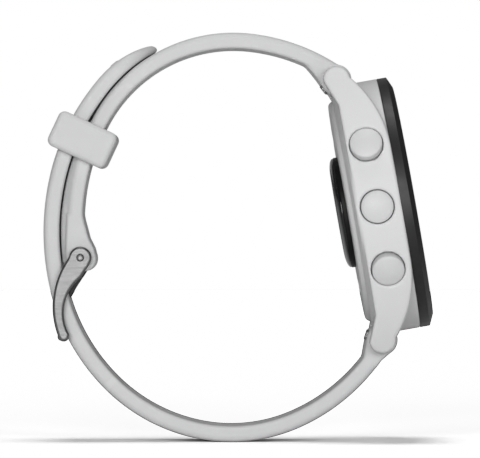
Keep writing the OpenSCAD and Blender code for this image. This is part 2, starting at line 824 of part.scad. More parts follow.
module lower_band() difference() {
    union() {
        across(band_w - 0.2) {
            translate([bar_x, bar_reach]) circle(r = barrel_r);
            polygon([
                [bar_x + 0.643 * barrel_r, bar_reach + 0.765 * barrel_r], inside(lower_end, 0, sliver),
                inside(lower_end, lap, 2 * sliver), inside(lower_end, lap, band_t - 2 * sliver),
                [bar_x - 2.5, bar_reach - 0.7]
            ]);
        }
        translate([lower_start[0], lower_start[1], 0]) rotate(lower_heading) {
            band_chain(lower_arcs);
            along(lower_arcs, lower_length - ridge_from_tip)
                translate([-ridge_l / 2, -ridge_t, -ridge_w / 2]) cube([ridge_l, band_t / 2, ridge_w]);
        }
    }
    bar_cuts();
    translate([lower_start[0], lower_start[1], 0]) rotate(lower_heading) {
        for (i = [-holes_before:holes_after])
            along(lower_arcs, buckled_hole_s + i * hole_pitch) band_hole();
        along(lower_arcs, lower_length - tip_r) difference() {
            translate([0, -4, -band_w]) cube([2 * band_w, 12, 2 * band_w]);
            translate([0, -5, 0]) rotate([-90, 0, 0]) cylinder(r = tip_r, h = 14);
        }
    }
}

// ---------------------------------------------------------------- spring bars

module at_bar(up) watch() translate([bar_x, 0, up * bar_reach]) rotate([90, 0, 0]) children();

// Slot along the tube for the knob's stem
module knob_slot(up) rotate(180 + up * knob_turn)
    translate([0, -knob_stem_r - running_gap, knob_at - release_travel - 0.5])
        cube([2, 2 * (knob_stem_r + running_gap), release_travel + 1]);

module spring_bar(up) color("#9aa0a6") at_bar(up) {
    difference() {
        disc(bar_r, -bar_half_l, bar_half_l);
        disc(bar_bore_r, release_stop, bar_half_l + 1);
        knob_slot(up);
    }
    disc(bar_tip_r, -lug_gap / 2 - lug_hole_l + 0.35, -bar_half_l + 0.1);
}

module release_pin(up) color("#8f959b") at_bar(up) {
    disc(bar_bore_r - running_gap, knob_at - pin_tail, bar_half_l - release_travel - 0.2);
    disc(bar_tip_r, knob_at, lug_gap / 2 + lug_hole_l - 0.35);
    rotate(180 + up * knob_turn) translate([0, 0, knob_at]) {
        rotate([0, 90, 0]) cylinder(r = knob_stem_r, h = knob_out - 0.3);
        translate([knob_in, 0, 0]) rotate([0, 90, 0]) cylinder(r = knob_r, h = knob_out - knob_in);
    }
}

module release_spring(up) color("#9aa0a6") at_bar(up) translate([0, 0, release_stop + 0.05])
    coil(release_spring_r, release_wire_r, knob_at - pin_tail - release_stop - 0.1, 6);

module upper_spring_bar() spring_bar(1);
module lower_spring_bar() spring_bar(-1);
module upper_release_pin() release_pin(1);
module lower_release_pin() release_pin(-1);
module upper_release_spring() release_spring(1);
module lower_release_spring() release_spring(-1);

// ---------------------------------------------------------------- buckle

module arm_profile() difference() {
    union() {
        circle(r = arm_head_r);
        intersection() {
            difference() {
                translate(arm_back) circle(r = arm_back_r);
                translate(arm_hollow) circle(r = arm_hollow_r);
            }
            polygon([
                [1.2, -1.48], [-1.2, 1.48], [-8, 1.48], [-8, arm_end[1]], [arm_end[0] + 0.8, arm_end[1]],
                arm_hollow, [-0.55, -3.4]
            ]);
        }
        translate(arm_end) circle(r = arm_end_r);
    }
    circle(r = pin_end_r + running_gap);
}

module buckle_frame() color("#8b8e93") side() translate(pin_at) difference() {
    union() {
        for (s = [-1, 1]) translate([0, 0, s * (arm_in + arm_w / 2)]) across(arm_w) arm_profile();
        across(2 * arm_in + 0.2) translate(bar_rest) circle(r = bar_rest_r);
    }
    across(tongue_w + 0.6) translate(bar_rest + [-1.6, -1]) square([1.5, 2]);
}

module buckle_tongue() color("#85888d") side() translate(pin_at) across(tongue_w) difference() {
    union() {
        circle(r = tongue_hub_r);
        polygon([
            [-1.3, -0.6], [-3.3, -5.45], [-6.05, -8.75], [-6.3, -12.7], [-5.72, -12.7], [-5.58, -9.3],
            [-2.9, -6.25], [-1.7, -4.8], [0.45, -2.5], [0.9, -1.2]
        ]);
    }
    circle(r = pin_r + running_gap);
}

module buckle_pin() color("#9aa0a6") side() translate(pin_at) {
    across(2 * (arm_in - running_gap)) circle(r = pin_r);
    across(2 * pin_half_l) circle(r = pin_end_r);
}

// ---------------------------------------------------------------- keeper

module keeper() color("#cfd1d3") side() translate(keeper_at) rotate(keeper_turn) difference() {
    across(2 * (keeper_half_w + keeper_wall)) {
        square([keeper_h - 2 * keeper_corner, keeper_l], center = true);
        square([keeper_h, keeper_l - 2 * keeper_corner], center = true);
        for (x = [-1, 1], y = [-1, 1])
            translate([x * (keeper_h / 2 - keeper_corner), y * (keeper_l / 2 - keeper_corner)])
                circle(r = keeper_corner);
    }
    across(2 * keeper_half_w) translate([-keeper_bore_in, -keeper_l])
        square([keeper_bore_in + keeper_bore_out, 2 * keeper_l]);
}

bezel();
lens();
lens_gasket();
display_panel();
display_flex();
antenna_ring();
case_shell();
inner_frame();
main_board();
shield_can();
battery();
buzzer();
vibration_motor();
motor_weight();
left_switches();
right_switches();
rear_cover();
rear_cover_seal();
rear_cover_screws();
sensor_housing();
sensor_lens();
sensor_board();
sensor_leds();
charge_contacts();
button_bushes();
button_left_top();
button_left_middle();
button_left_bottom();
button_right_top();
button_right_bottom();
seal_left_top();
seal_left_middle();
seal_left_bottom();
seal_right_top();
seal_right_bottom();
clip_left_top();
clip_left_middle();
clip_left_bottom();
clip_right_top();
clip_right_bottom();
spring_left_top();
spring_left_middle();
spring_left_bottom();
spring_right_top();
spring_right_bottom();
upper_strap();
lower_strap();
upper_spring_bar();
lower_spring_bar();
upper_release_pin();
lower_release_pin();
upper_release_spring();
lower_release_spring();
buckle_frame();
buckle_tongue();
buckle_pin();
keeper();
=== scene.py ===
"""GPS running watch on its buckled silicone band: moulded meshes, finishes, studio and camera."""

import logging
import math
from dataclasses import dataclass
from enum import Enum
from typing import Sequence

import bpy
import numpy as np
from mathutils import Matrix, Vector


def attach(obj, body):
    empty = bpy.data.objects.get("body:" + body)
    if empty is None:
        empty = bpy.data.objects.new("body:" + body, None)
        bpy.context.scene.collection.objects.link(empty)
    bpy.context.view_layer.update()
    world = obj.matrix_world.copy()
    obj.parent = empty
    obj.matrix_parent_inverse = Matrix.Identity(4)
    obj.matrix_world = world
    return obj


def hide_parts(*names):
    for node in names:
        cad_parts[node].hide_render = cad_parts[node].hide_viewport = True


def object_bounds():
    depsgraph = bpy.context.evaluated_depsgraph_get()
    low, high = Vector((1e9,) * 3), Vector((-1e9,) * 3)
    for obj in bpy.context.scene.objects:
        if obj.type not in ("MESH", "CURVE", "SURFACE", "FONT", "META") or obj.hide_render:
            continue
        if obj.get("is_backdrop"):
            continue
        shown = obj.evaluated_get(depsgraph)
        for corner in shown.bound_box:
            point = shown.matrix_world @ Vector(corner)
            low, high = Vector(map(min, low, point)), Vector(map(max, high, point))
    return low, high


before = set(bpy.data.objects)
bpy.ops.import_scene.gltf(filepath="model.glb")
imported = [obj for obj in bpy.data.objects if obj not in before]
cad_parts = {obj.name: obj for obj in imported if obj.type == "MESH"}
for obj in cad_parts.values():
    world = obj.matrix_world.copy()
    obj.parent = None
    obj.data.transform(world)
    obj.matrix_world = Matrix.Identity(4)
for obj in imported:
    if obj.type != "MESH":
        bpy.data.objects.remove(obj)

import openvdb
from mathutils import Matrix, Vector

LOG = logging.getLogger("running_watch")
CAD_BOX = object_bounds()
METRES = Matrix.Scale(0.001, 4)
Array = np.ndarray
Point = tuple[float, float]
Triple = tuple[float, float, float]
Shape = tuple[Array, Array]
Socket = bpy.types.NodeSocket
Piece = bpy.types.Object


# ---------------- places


def turned(angle: float, axis: str) -> Matrix:
    """A turn about an axis, in degrees."""
    return Matrix.Rotation(math.radians(angle), 4, axis)


def moved(x: float, y: float, z: float = 0.0) -> Matrix:
    """A shift, in millimetres."""
    return Matrix.Translation((x, y, z))


LEAN = -10
CASE_FACE_X = 35.0
BAR_DEPTH, BAR_REACH = -9.4, 22.4
BAR_AT = (CASE_FACE_X + BAR_DEPTH, BAR_REACH)
WATCH = turned(LEAN, "Y")
CASE = WATCH @ moved(CASE_FACE_X, 0, 0) @ turned(90, "Z") @ turned(90, "X")
SIDE = WATCH @ turned(90, "X")
BUTTON_DEPTH = -6.5
BUTTONS = {"left_top": 152, "left_middle": 180, "left_bottom": 208, "right_top": 28, "right_bottom": -28}


# ---------------- distance fields


def span(*parts: Array) -> Array:
    """Length of a vector given by its parts."""
    return np.sqrt(sum(p * p for p in parts))


def meet(a: Array, b: Array, radius: float) -> Array:
    """Where two solids overlap, with an edge of that radius."""
    rounded = span(np.maximum(a + radius, 0), np.maximum(b + radius, 0))
    return np.minimum(-radius, np.maximum(a, b)) + rounded


def join(a: Array, b: Array, radius: float) -> Array:
    """Two solids as one, with a fillet of that radius where they meet."""
    return -meet(-a, -b, radius)


def carve(a: Array, *cuts: tuple[Array, float]) -> Array:
    """Takes solids out of a solid, one after another.

    Args:
        a: distance to the solid.
        cuts: distance to each solid taken out, and the radius of the rim that it leaves.

    Returns:
        Distance to what is left.
    """
    for b, radius in cuts:
        a = meet(a, -b, radius)
    return a


def bevel(a: Array, b: Array, width: float) -> Array:
    """Where two solids overlap, with a flat bevel of that width between them."""
    return np.maximum(np.maximum(a, b), (a + b + width) * math.sqrt(0.5))


def rectangle(x: Array, y: Array, half_x: float, half_y: float, corner: float = 0.0) -> Array:
    """Distance to a rectangle with rounded corners.

    Args:
        x: first coordinate from the middle.
        y: second coordinate from the middle.
        half_x: half the width.
        half_y: half the height.
        corner: corner radius.

    Returns:
        Distance in the plane, negative inside.
    """
    qx, qy = np.abs(x) - half_x + corner, np.abs(y) - half_y + corner
    return span(np.maximum(qx, 0), np.maximum(qy, 0)) + np.minimum(np.maximum(qx, qy), 0) - corner


def polygon(x: Array, y: Array, points: Sequence[Point]) -> Array:
    """Distance to a closed polygon.

    Args:
        x: first coordinate.
        y: second coordinate.
        points: corners in order.

    Returns:
        Distance in the plane, negative inside.
    """
    x, y = np.broadcast_arrays(x, y)
    nearest = np.full(x.shape, 1e9, np.float32)
    inside = np.zeros(x.shape, bool)
    for (ax, ay), (bx, by) in zip(points, [*points[1:], points[0]]):
        ex, ey, wx, wy = bx - ax, by - ay, x - ax, y - ay
        along = np.clip((wx * ex + wy * ey) / max(ex * ex + ey * ey, 1e-12), 0, 1)
        nearest = np.minimum(nearest, (wx - ex * along) ** 2 + (wy - ey * along) ** 2)
        left = (wx * ey - wy * ex) * (1 if ey > 0 else -1)
        inside ^= ((ay > y) != (by > y)) & (left < 0)
    return np.where(inside, -1, 1) * np.sqrt(nearest)


@dataclass
class Mould:
    """A fine grid on which a solid's distance field is worked out and skinned, in millimetres.

    Attributes:
        low: lowest corner of the solid.
        high: highest corner of the solid.
        pitch: spacing of the grid along each axis.
        margin: steps that the grid goes on past the solid.
    """

    low: Triple
    high: Triple
    pitch: Triple
    margin: float = 2.5

    def axes(self) -> list[Array]:
        """Coordinates of the grid's points, ready to broadcast."""
        lines = [
            np.arange(a - self.margin * p, b + (self.margin + 1) * p, p, dtype=np.float32)
            for a, b, p in zip(self.low, self.high, self.pitch)
        ]
        return np.meshgrid(*lines, indexing="ij", sparse=True)

    def skin(self, distance: Array) -> Shape:
        """Mesh of the surface where the distance is nought.

        Args:
            distance: the field on the grid.

        Returns:
            Vertices and four-sided faces.
        """
        full = np.broadcast_to(distance, [a.size for a in self.axes()])
        reach = 3 * max(self.pitch)
        grid = openvdb.FloatGrid(background=reach)
        grid.copyFromArray(np.ascontiguousarray(np.clip(full, -reach, reach), np.float32))
        points, quads = grid.convertToQuads(0.0)
        low = np.array(self.low) - self.margin * np.array(self.pitch)
        return points * np.array(self.pitch) + low, quads


# ---------------- turned shapes


ARC_STEPS = 6
NEARLY_STRAIGHT = math.pi - 0.02


def softened(points: Sequence[Point], radius: float | Sequence[float], closed: bool = True) -> list[Point]:
    """Rounds the corners of an outline.

    Args:
        points: the outline's corners.
        radius: one radius, or one for each corner.
        closed: whether the last corner joins the first.

    Returns:
        The outline with an arc at each corner.
    """
    count = len(points)
    radii = [radius] * count if isinstance(radius, (int, float)) else radius
    out: list[Point] = []
    for i, (p, r) in enumerate(zip(points, radii)):
        here = Vector(p)
        back, ahead = Vector(points[i - 1]) - here, Vector(points[(i + 1) % count]) - here
        if r <= 0 or (not closed and i in (0, count - 1)) or back.angle(ahead) > NEARLY_STRAIGHT:
            out.append(p)
            continue
        reach = min(r / math.tan(back.angle(ahead) / 2), 0.48 * back.length, 0.48 * ahead.length)
        first, last = here + back.normalized() * reach, here + ahead.normalized() * reach
        for k in range(ARC_STEPS + 1):
            t = k / ARC_STEPS
            out.append(tuple(first * (1 - t) ** 2 + here * 2 * t * (1 - t) + last * t * t))
    return out


def revolved(outline: Sequence[Point], closed: bool = True, segments: int = 192) -> Shape:
    """Turns an outline about the z axis.

    Args:
        outline: (radius, z) points; an open outline starts and ends on the axis.
        closed: whether the outline is a loop that stays off the axis.
        segments: number of steps round.

    Returns:
        Vertices and faces, with one vertex at each pole.
    """
    angles = np.linspace(0, 2 * math.pi, segments, endpoint=False)
    rings: list[list[int]] = []
    verts: list[Triple] = []
    for r, z in outline:
        steps = angles if r >= 1e-6 else [0.0]
        rings.append(list(range(len(verts), len(verts) + len(steps))))
        verts += [(r * math.cos(a), r * math.sin(a), z) for a in steps]
    faces: list[tuple[int, ...]] = []
    for a, b in list(zip(rings, rings[1:])) + ([(rings[-1], rings[0])] if closed else []):
        for k in range(segments):
            n = (k + 1) % segments
            corners = [a[k % len(a)], a[n % len(a)], b[n % len(b)], b[k % len(b)]]
            faces.append(tuple(dict.fromkeys(corners)))
    return np.array(verts), faces


def spun(outline: Sequence[Point], ease: float | Sequence[float], segments: int) -> Shape:
    """Turns an open outline, its corners softened, about the z axis."""
    return revolved(softened(outline, ease, closed=False), closed=False, segments=segments)


# ---------------- pieces


def linked(name: str, data: bpy.types.ID) -> Piece:
    """Makes an object in the scene.

    Args:
        name: its name.
        data: its mesh, curve, camera or light.

    Returns:
        The object.
    """
    made = bpy.data.objects.new(name, data)
    bpy.context.scene.collection.objects.link(made)
    return made


def enclosed(mesh: bpy.types.Mesh) -> float:
    """Signed volume that a closed mesh encloses."""
    mesh.calc_loop_triangles()
    co = np.empty(len(mesh.vertices) * 3)
    mesh.vertices.foreach_get("co", co)
    tri = np.empty(len(mesh.loop_triangles) * 3, int)
    mesh.loop_triangles.foreach_get("vertices", tri)
    a, b, c = co.reshape(-1, 3)[tri.reshape(-1, 3)].transpose(1, 0, 2)
    return float(np.einsum("ij,ij->i", a, np.cross(b, c)).sum() / 6)


def seated(name: str, mesh: bpy.types.Mesh, seat: Matrix | None) -> Piece:
    """Makes a smooth object at the origin, with its place in its mesh and its faces outward.

    Args:
        name: the piece's name.
        mesh: its mesh, in millimetres.
        seat: frame that the mesh is in, or None to leave it in millimetres.

    Returns:
        The object.
    """
    if seat is not None:
        mesh.transform(METRES @ seat)
    if enclosed(mesh) < 0:
        mesh.flip_normals()
    mesh.shade_smooth()
    mesh.update()
    return linked(name, mesh)


def solid(name: str, shape: Shape, seat: Matrix | None = None) -> Piece:
    """Makes an object from vertices in millimetres.

    Args:
        name: the piece's name.
        shape: vertices and faces.
        seat: frame that the vertices are in, if any.

    Returns:
        The object.
    """
    mesh = bpy.data.meshes.new(name)
    verts, faces = (part.tolist() if isinstance(part, Array) else part for part in shape)
    mesh.from_pydata(verts, [], faces)
    return seated(name, mesh, seat)


def dressed(piece: Piece, finish: "Finishes", body: str, *nodes: str) -> Piece:
    """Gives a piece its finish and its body.

    Args:
        piece: the finished mesh.
        finish: what its surface is like.
        body: body that it rides on.
        nodes: the CAD nodes that it stands for.

    Returns:
        The piece.
    """
    piece.data.materials.clear()
    piece.data.materials.append(finish.value.material())
    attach(piece, body)
    if nodes:
        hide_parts(*nodes)
    LOG.info("%s: %d faces on %s", piece.name, len(piece.data.polygons), body)
    return piece


# ---------------- finishes


class Tree:
    """A node tree built step by step."""

    def __init__(self, tree: bpy.types.NodeTree) -> None:
        """Goes on from a tree."""
        self.tree = tree

    def feed(self, node: bpy.types.Node, links: dict[str | int, object]) -> None:
        """Links or sets inputs of a node.

        Args:
            node: the node.
            links: a socket or a value for each input.
        """
        for key, value in links.items():
            if isinstance(value, Socket):
                self.tree.links.new(value, node.inputs[key])
            else:
                node.inputs[key].default_value = value

    def add(self, kind: str, links: dict[str | int, object] | None = None, **settings: object) -> bpy.types.Node:
        """Adds a node.

        Args:
            kind: the node's type.
            links: sockets or values for its inputs.
            settings: its properties.

        Returns:
            The node.
        """
        node = self.tree.nodes.new(kind)
        for key, value in settings.items():
            setattr(node, key, value)
        self.feed(node, links or {})
        return node

    def vector(self, **parts: object) -> Socket:
        """A vector from sockets or values for X, Y and Z."""
        return self.add("ShaderNodeCombineXYZ", parts).outputs[0]


class Graph(Tree):
    """A material's node tree, built from the Principled shader backwards."""

    def __init__(self, name: str) -> None:
        """Starts the material with that name."""
        self.material = bpy.data.materials.new(name)
        self.material.use_nodes = True
        super().__init__(self.material.node_tree)
        self.shader = self.tree.nodes["Principled BSDF"]
        self.place = self.add("ShaderNodeTexCoord").outputs["Object"]

    def surface(self, name: str) -> Socket:
        """What an input of the shader is linked to so far."""
        return self.shader.inputs[name].links[0].from_socket

    def noise(self, scale: float, detail: float = 2.0, source: Socket | None = None) -> Socket:
        """Soft noise from 0 to 1.

        Args:
            scale: cells a metre.
            detail: octaves of finer noise.
            source: coordinates, the object's own by default.

        Returns:
            The noise.
        """
        links = {"Vector": source or self.place, "Scale": scale, "Detail": detail}
        return self.add("ShaderNodeTexNoise", links).outputs["Fac"]

    def ranged(self, source: Socket, low: float, high: float, to_low: float, to_high: float) -> Socket:
        """Maps a range of values to another and holds them within it.

        Args:
            source: the value.
            low: start of its range.
            high: end of its range.
            to_low: result at the start.
            to_high: result at the end.

        Returns:
            The mapped value.
        """
        links = {"Value": source, "From Min": low, "From Max": high, "To Min": to_low, "To Max": to_high}
        return self.add("ShaderNodeMapRange", links).outputs["Result"]

    def mixed(self, share: Socket, first: object, second: object) -> Socket:
        """Mixes two colours.

        Args:
            share: how much of the second, from 0 to 1.
            first: colour or socket.
            second: colour or socket.

        Returns:
            The mixed colour.
        """
        pair = [v if isinstance(v, Socket) else (*v, 1) for v in (first, second)]
        return self.add("ShaderNodeMix", {0: share, 6: pair[0], 7: pair[1]}, data_type="RGBA").outputs[2]

    def bumped(self, height: Socket, depth: float, **under: Socket) -> Socket:
        """Bumps the surface.

        Args:
            height: height from 0 to 1.
            depth: depth in metres.
            under: Normal, if there is a bump below this one.

        Returns:
            The normal.
        """
        links = {"Strength": 1.0, "Distance": depth, "Height": height, **under}
        return self.add("ShaderNodeBump", links).outputs["Normal"]


def shaded(colour: Triple, share: float) -> Triple:
    """A colour times a share, held to white."""
    return tuple(min(c * share, 1.0) for c in colour)


@dataclass(frozen=True)
class Finish:
    """A moulded or cast surface with fine grain, soft colour drift and a painted highlight along its convex edges.

    Attributes:
        name: material name.
        colour: linear base colour.
        drift: share by which the colour wanders.
        rough: roughness.
        rough_drift: how far the roughness wanders.
        grain: grains a metre.
        grain_depth: depth of the grain, in metres.
        metallic: 1 for bare metal.
        edge: share by which convex edges are painted lighter, as a painted highlight.
        specular: specular level.
        sheen: soft sheen of silicone.
        slot: the record's slot, where it isn't the name; not used.
    """

    name: str
    colour: Triple
    drift: float = 0.03
    rough: float = 0.5
    rough_drift: float = 0.05
    grain: float = 7000.0
    grain_depth: float = 6e-6
    metallic: float = 0.0
    edge: float = 0.04
    specular: float = 0.5
    sheen: float = 0.0
    slot: str = ""

    def material(self) -> bpy.types.Material:
        """The material, made once."""
        return bpy.data.materials.get(f"{self.name}_finish") or self.build().material

    def roughness(self, g: Graph, source: Socket) -> Socket:
        """Roughness that wanders with a noise."""
        return g.ranged(source, 0.3, 0.7, self.rough - self.rough_drift, self.rough + self.rough_drift)

    def build(self) -> Graph:
        """Builds the node tree.

        Returns:
            The graph, so that a finish based on this one can go on from it.
        """
        g = Graph(f"{self.name}_finish")
        broad = g.ranged(g.noise(140, 3), 0.35, 0.65, 0, 1)
        base = g.mixed(broad, shaded(self.colour, 1 - self.drift), shaded(self.colour, 1 + self.drift))
        speck = g.ranged(g.noise(self.grain * 0.6, 0), 0.3, 0.7, 0, 0.5)
        base = g.mixed(speck, base, shaded(self.colour, 1 - 1.5 * self.drift))
        # Convex edges, found by pointiness, are painted lighter by the edge share: a painted highlight along the
        # edges.
        edge_highlight = g.ranged(g.add("ShaderNodeNewGeometry").outputs["Pointiness"], 0.52, 0.6, 0, 1)
        g.feed(g.shader, {
            "Metallic": self.metallic, "Specular IOR Level": self.specular, "Sheen Weight": self.sheen,
            "Base Color": g.mixed(edge_highlight, base, shaded(self.colour, 1 + self.edge)),
            "Roughness": self.roughness(g, g.noise(420, 3)),
            "Normal": g.bumped(g.noise(self.grain, 2), self.grain_depth),
        })
        return g


@dataclass(frozen=True)
class Brushed(Finish):
    """Metal with fine brush lines along one direction.

    Attributes:
        lines: brush lines a metre.
        stretch: how much longer than wide a line is, along each axis.
    """

    drift: float = 0.05
    rough_drift: float = 0.06
    grain: float = 9000.0
    grain_depth: float = 1e-6
    metallic: float = 1.0
    edge: float = 0.2
    lines: float = 9000.0
    stretch: Triple = (0.06, 0.06, 1.0)

    def build(self) -> Graph:
        """Adds the brush lines.

        Returns:
            The finished graph.
        """
        g = super().build()
        squeeze = g.add("ShaderNodeMapping", {"Vector": g.place, "Scale": self.stretch})
        lines = g.noise(self.lines, 2, squeeze.outputs["Vector"])
        g.feed(g.shader, {
            "Normal": g.bumped(lines, self.grain_depth, Normal=g.surface("Normal")),
            "Roughness": self.roughness(g, lines),
        })
        return g


@dataclass(frozen=True)
class Windowed(Finish):
    """Dark glossy lens with dimmer discs where something lies behind it.

    Attributes:
        discs: (across, up, radius) of each disc from the middle, in metres.
        tint: colour inside the discs.
        fade: half the width of a disc's soft edge, in metres.
    """

    discs: tuple[Triple, ...] = ()
    tint: Triple = (0.02, 0.02, 0.02)
    fade: float = 5e-5

    def build(self) -> Graph:
        """Adds the discs.

        Returns:
            The finished graph.
        """
        g = super().build()
        lean = {"Vector": g.place, "Rotation": (0, math.radians(LEAN), 0)}
        level = g.add("ShaderNodeMapping", lean, vector_type="TEXTURE").outputs[0]
        split = g.add("ShaderNodeSeparateXYZ", {0: level}).outputs
        flat = g.vector(X=split["Y"], Y=split["Z"])
        colour = g.surface("Base Color")
        for across, up, radius in self.discs:
            gap = g.add("ShaderNodeVectorMath", {0: flat, 1: (across, up, 0)}, operation="DISTANCE")
            inside = g.ranged(gap.outputs["Value"], radius - self.fade, radius + self.fade, 1, 0)
            colour = g.mixed(inside, colour, self.tint)
        g.feed(g.shader, {"Base Color": colour})
        return g


@dataclass(frozen=True)
class Printed(Finish):
    """Circuit board or film with printed tracks.

    Attributes:
        track: colour of the tracks.
        pitch: tracks a metre.
    """

    track: Triple = (0.3, 0.18, 0.05)
    pitch: float = 900.0

    def build(self) -> Graph:
        """Adds the tracks.

        Returns:
            The finished graph.
        """
        g = super().build()
        cells = g.add("ShaderNodeTexVoronoi", {"Vector": g.place, "Scale": self.pitch}, distance="MANHATTAN")
        on = g.ranged(cells.outputs["Distance"], 0.52, 0.56, 0, 0.8)
        g.feed(g.shader, {"Base Color": g.mixed(on, g.surface("Base Color"), self.track)})
        return g


class Finishes(Enum):
    """Every finish on the watch."""

    # The edge value of each finish sets how much lighter it paints convex edges, a painted highlight.
    CASE = Finish("case_polymer", (0.57, 0.572, 0.575), 0.012, 0.55, 0.04, 8000, 5e-6, edge=0.03)
    COVER = Finish("cover_polymer", (0.56, 0.562, 0.565), 0.015, grain=6000)
    BUTTON = Finish("button_polymer", (0.54, 0.542, 0.545), 0.01, 0.5, 0.03, 8000, 3e-6)
    BEZEL = Finish("bezel_polymer", (0.012, 0.012, 0.012), 0.1, 0.45, 0.05, 6000, 7e-6, edge=0.6, specular=0.35)
    BAND = Finish("band_silicone", (0.51, 0.512, 0.515), 0.012, 0.6, 0.05, 5000, 5e-6, sheen=0.08)
    LENS = Windowed(
        "lens_glass", (0.004, 0.004, 0.005), 0.1, 0.06, 0.015, 900, 1e-7, edge=0.2,
        discs=((0.0, 0.0, 0.0158),), tint=(0.012, 0.014, 0.016),
    )
    SENSOR_RING = Finish("sensor_ring", (0.006, 0.006, 0.006), 0.1, grain=6000, edge=0.2, specular=0.2)
    SENSOR_LENS = Windowed(
        "sensor_gloss", (0.006, 0.006, 0.007), 0.1, 0.1, 0.02, 1200, 2e-7, edge=0.2,
        discs=(
            (0.0, 0.0, 0.0013), (0.0033, 0.0, 0.0011), (-0.0033, 0.0, 0.0011),
            (0.0, 0.0033, 0.0011), (0.0, -0.0033, 0.0011),
        ),
        tint=(0.03, 0.045, 0.03),
    )
    BUCKLE = Brushed("buckle_steel", (0.2, 0.2, 0.202), grain_depth=1.5e-6, edge=0.25)
    # The tongue is the buckle's own steel painted about four times darker: painted shade.
    TONGUE_SHADED = Brushed("tongue_steel_shaded", (0.05, 0.05, 0.051), grain_depth=1.5e-6, edge=0.25, slot="buckle_steel")
    STEEL = Brushed("bar_steel", (0.3, 0.3, 0.302), 0.04, 0.45)
    SCREW = Brushed("screw_steel", (0.42, 0.42, 0.43), rough=0.32, edge=0.3, stretch=(1, 0.1, 0.1))
    GOLD = Finish("contact_gold", (0.83, 0.6, 0.27), 0.05, 0.25, 0.05, 9000, 1e-6, 1.0, 0.1)
    RUBBER = Finish("seal_rubber", (0.02, 0.02, 0.021), 0.15, 0.7, 0.06, 9000)
    GASKET = Finish("gasket", (0.035, 0.035, 0.036), 0.15, 0.65, 0.06, 9000)
    SPRING = Brushed("spring_steel", (0.45, 0.45, 0.46), rough=0.3)
    BUSH = Brushed("bush_steel", (0.5, 0.5, 0.52), rough=0.28, rough_drift=0.05)
    TIN = Finish("tinned_steel", (0.55, 0.56, 0.57), 0.06, 0.35, 0.07, 4000, 2e-6, 1.0, 0.2)
    MOTOR = Brushed("motor_steel", (0.42, 0.43, 0.45), rough=0.33)
    ANTENNA = Finish("antenna_metal", (0.7, 0.5, 0.22), 0.06, 0.3, 0.06, 6000, 2e-6, 1.0, 0.2)
    BOARD = Printed("board", (0.012, 0.1, 0.035), 0.1, 0.4, 0.06, 5000, 4e-6, track=(0.03, 0.2, 0.07))
    FLEX = Printed(
        "flex_film", (0.42, 0.15, 0.02), 0.08, 0.35, 0.05, 5000, 3e-6, track=(0.6, 0.3, 0.08), pitch=1500,
    )
    CELL = Finish("cell_wrap", (0.05, 0.12, 0.26), 0.06, 0.3, 0.06, 1500, 2e-5)
    FRAME = Finish("frame_polymer", (0.1, 0.105, 0.11), 0.08, 0.55, 0.06, 6000)
    BUZZER = Finish("buzzer_body", (0.02, 0.02, 0.021), 0.1, 0.5, 0.06, 6000)
    DISPLAY = Finish("display", (0.01, 0.013, 0.017), 0.1, 0.15, 0.03, 5000, 5e-7)
    LED = Finish("led_epoxy", (0.5, 0.55, 0.35), 0.08, 0.2, 0.05, 4000, 2e-6)


# ---------------- repeats along a ring, a row and a path


class Nodes(Tree):
    """A geometry node tree with named inputs."""

    def __init__(self, name: str) -> None:
        """Starts the tree with a geometry input and output."""
        super().__init__(bpy.data.node_groups.new(name, "GeometryNodeTree"))
        for way in ("INPUT", "OUTPUT"):
            self.tree.interface.new_socket("Geometry", in_out=way, socket_type="NodeSocketGeometry")
        self.values: dict[str, object] = {}
        self.inputs = self.add("NodeGroupInput")

    def given(self, name: str, kind: str, value: object) -> Socket:
        """Adds a named input.

        Args:
            name: the input's name.
            kind: the socket's type, such as Float.
            value: what the piece gives it.

        Returns:
            The socket inside the tree.
        """
        self.tree.interface.new_socket(name, in_out="INPUT", socket_type=f"NodeSocket{kind}")
        self.values[name] = value
        return self.inputs.outputs[name]

    def item(self, name: str, value: Piece) -> Socket:
        """Geometry of an object that is a named input."""
        return self.add("GeometryNodeObjectInfo", {"Object": self.given(name, "Object", value)}).outputs["Geometry"]

    def maths(self, operation: str, *values: object) -> Socket:
        """Vector arithmetic on sockets or values."""
        return self.add("ShaderNodeVectorMath", dict(enumerate(values)), operation=operation).outputs[0]

    def shape(self, name: str, geometry: Socket, start: Piece, finish: Finishes, seat: Matrix) -> Piece:
        """Ends the tree, runs it on an object and keeps the result as a plain piece.

        Args:
            name: the piece's name.
            geometry: what the tree makes, in millimetres.
            start: object that carries the modifier; it is used up.
            finish: finish that the tree sets.
            seat: frame that the shape is in.

        Returns:
            The plain piece.
        """
        dress = self.given("Finish", "Material", finish.value.material())
        real = self.add("GeometryNodeRealizeInstances", {0: geometry})
        last = self.add("GeometryNodeSetMaterial", {"Geometry": real.outputs[0], "Material": dress})
        self.add("NodeGroupOutput", {0: last.outputs[0]})
        modifier = start.modifiers.new(self.tree.name, "NODES")
        modifier.node_group = self.tree
        for entry in self.tree.interface.items_tree:
            if entry.in_out == "INPUT" and entry.name in self.values:
                modifier[entry.identifier] = self.values[entry.name]
        evaluated = start.evaluated_get(bpy.context.evaluated_depsgraph_get())
        mesh = bpy.data.meshes.new_from_object(evaluated)
        bpy.data.objects.remove(start)
        return seated(name, mesh, seat)

    def repeated(self, name: str, points: Socket, item: Piece, finish: Finishes) -> Piece:
        """Ends the tree with an item copied to each point of the case frame.

        Args:
            name: the piece's name.
            points: where the copies stand.
            item: one of them; it is used up.
            finish: their finish.

        Returns:
            The plain piece.
        """
        copies = self.add("GeometryNodeInstanceOnPoints", {"Points": points, "Instance": self.item("Item", item)})
        made = self.shape(name, copies.outputs[0], solid(f"{name}_start", (np.zeros((1, 3)), [])), finish, CASE)
        bpy.data.objects.remove(item)
        return made


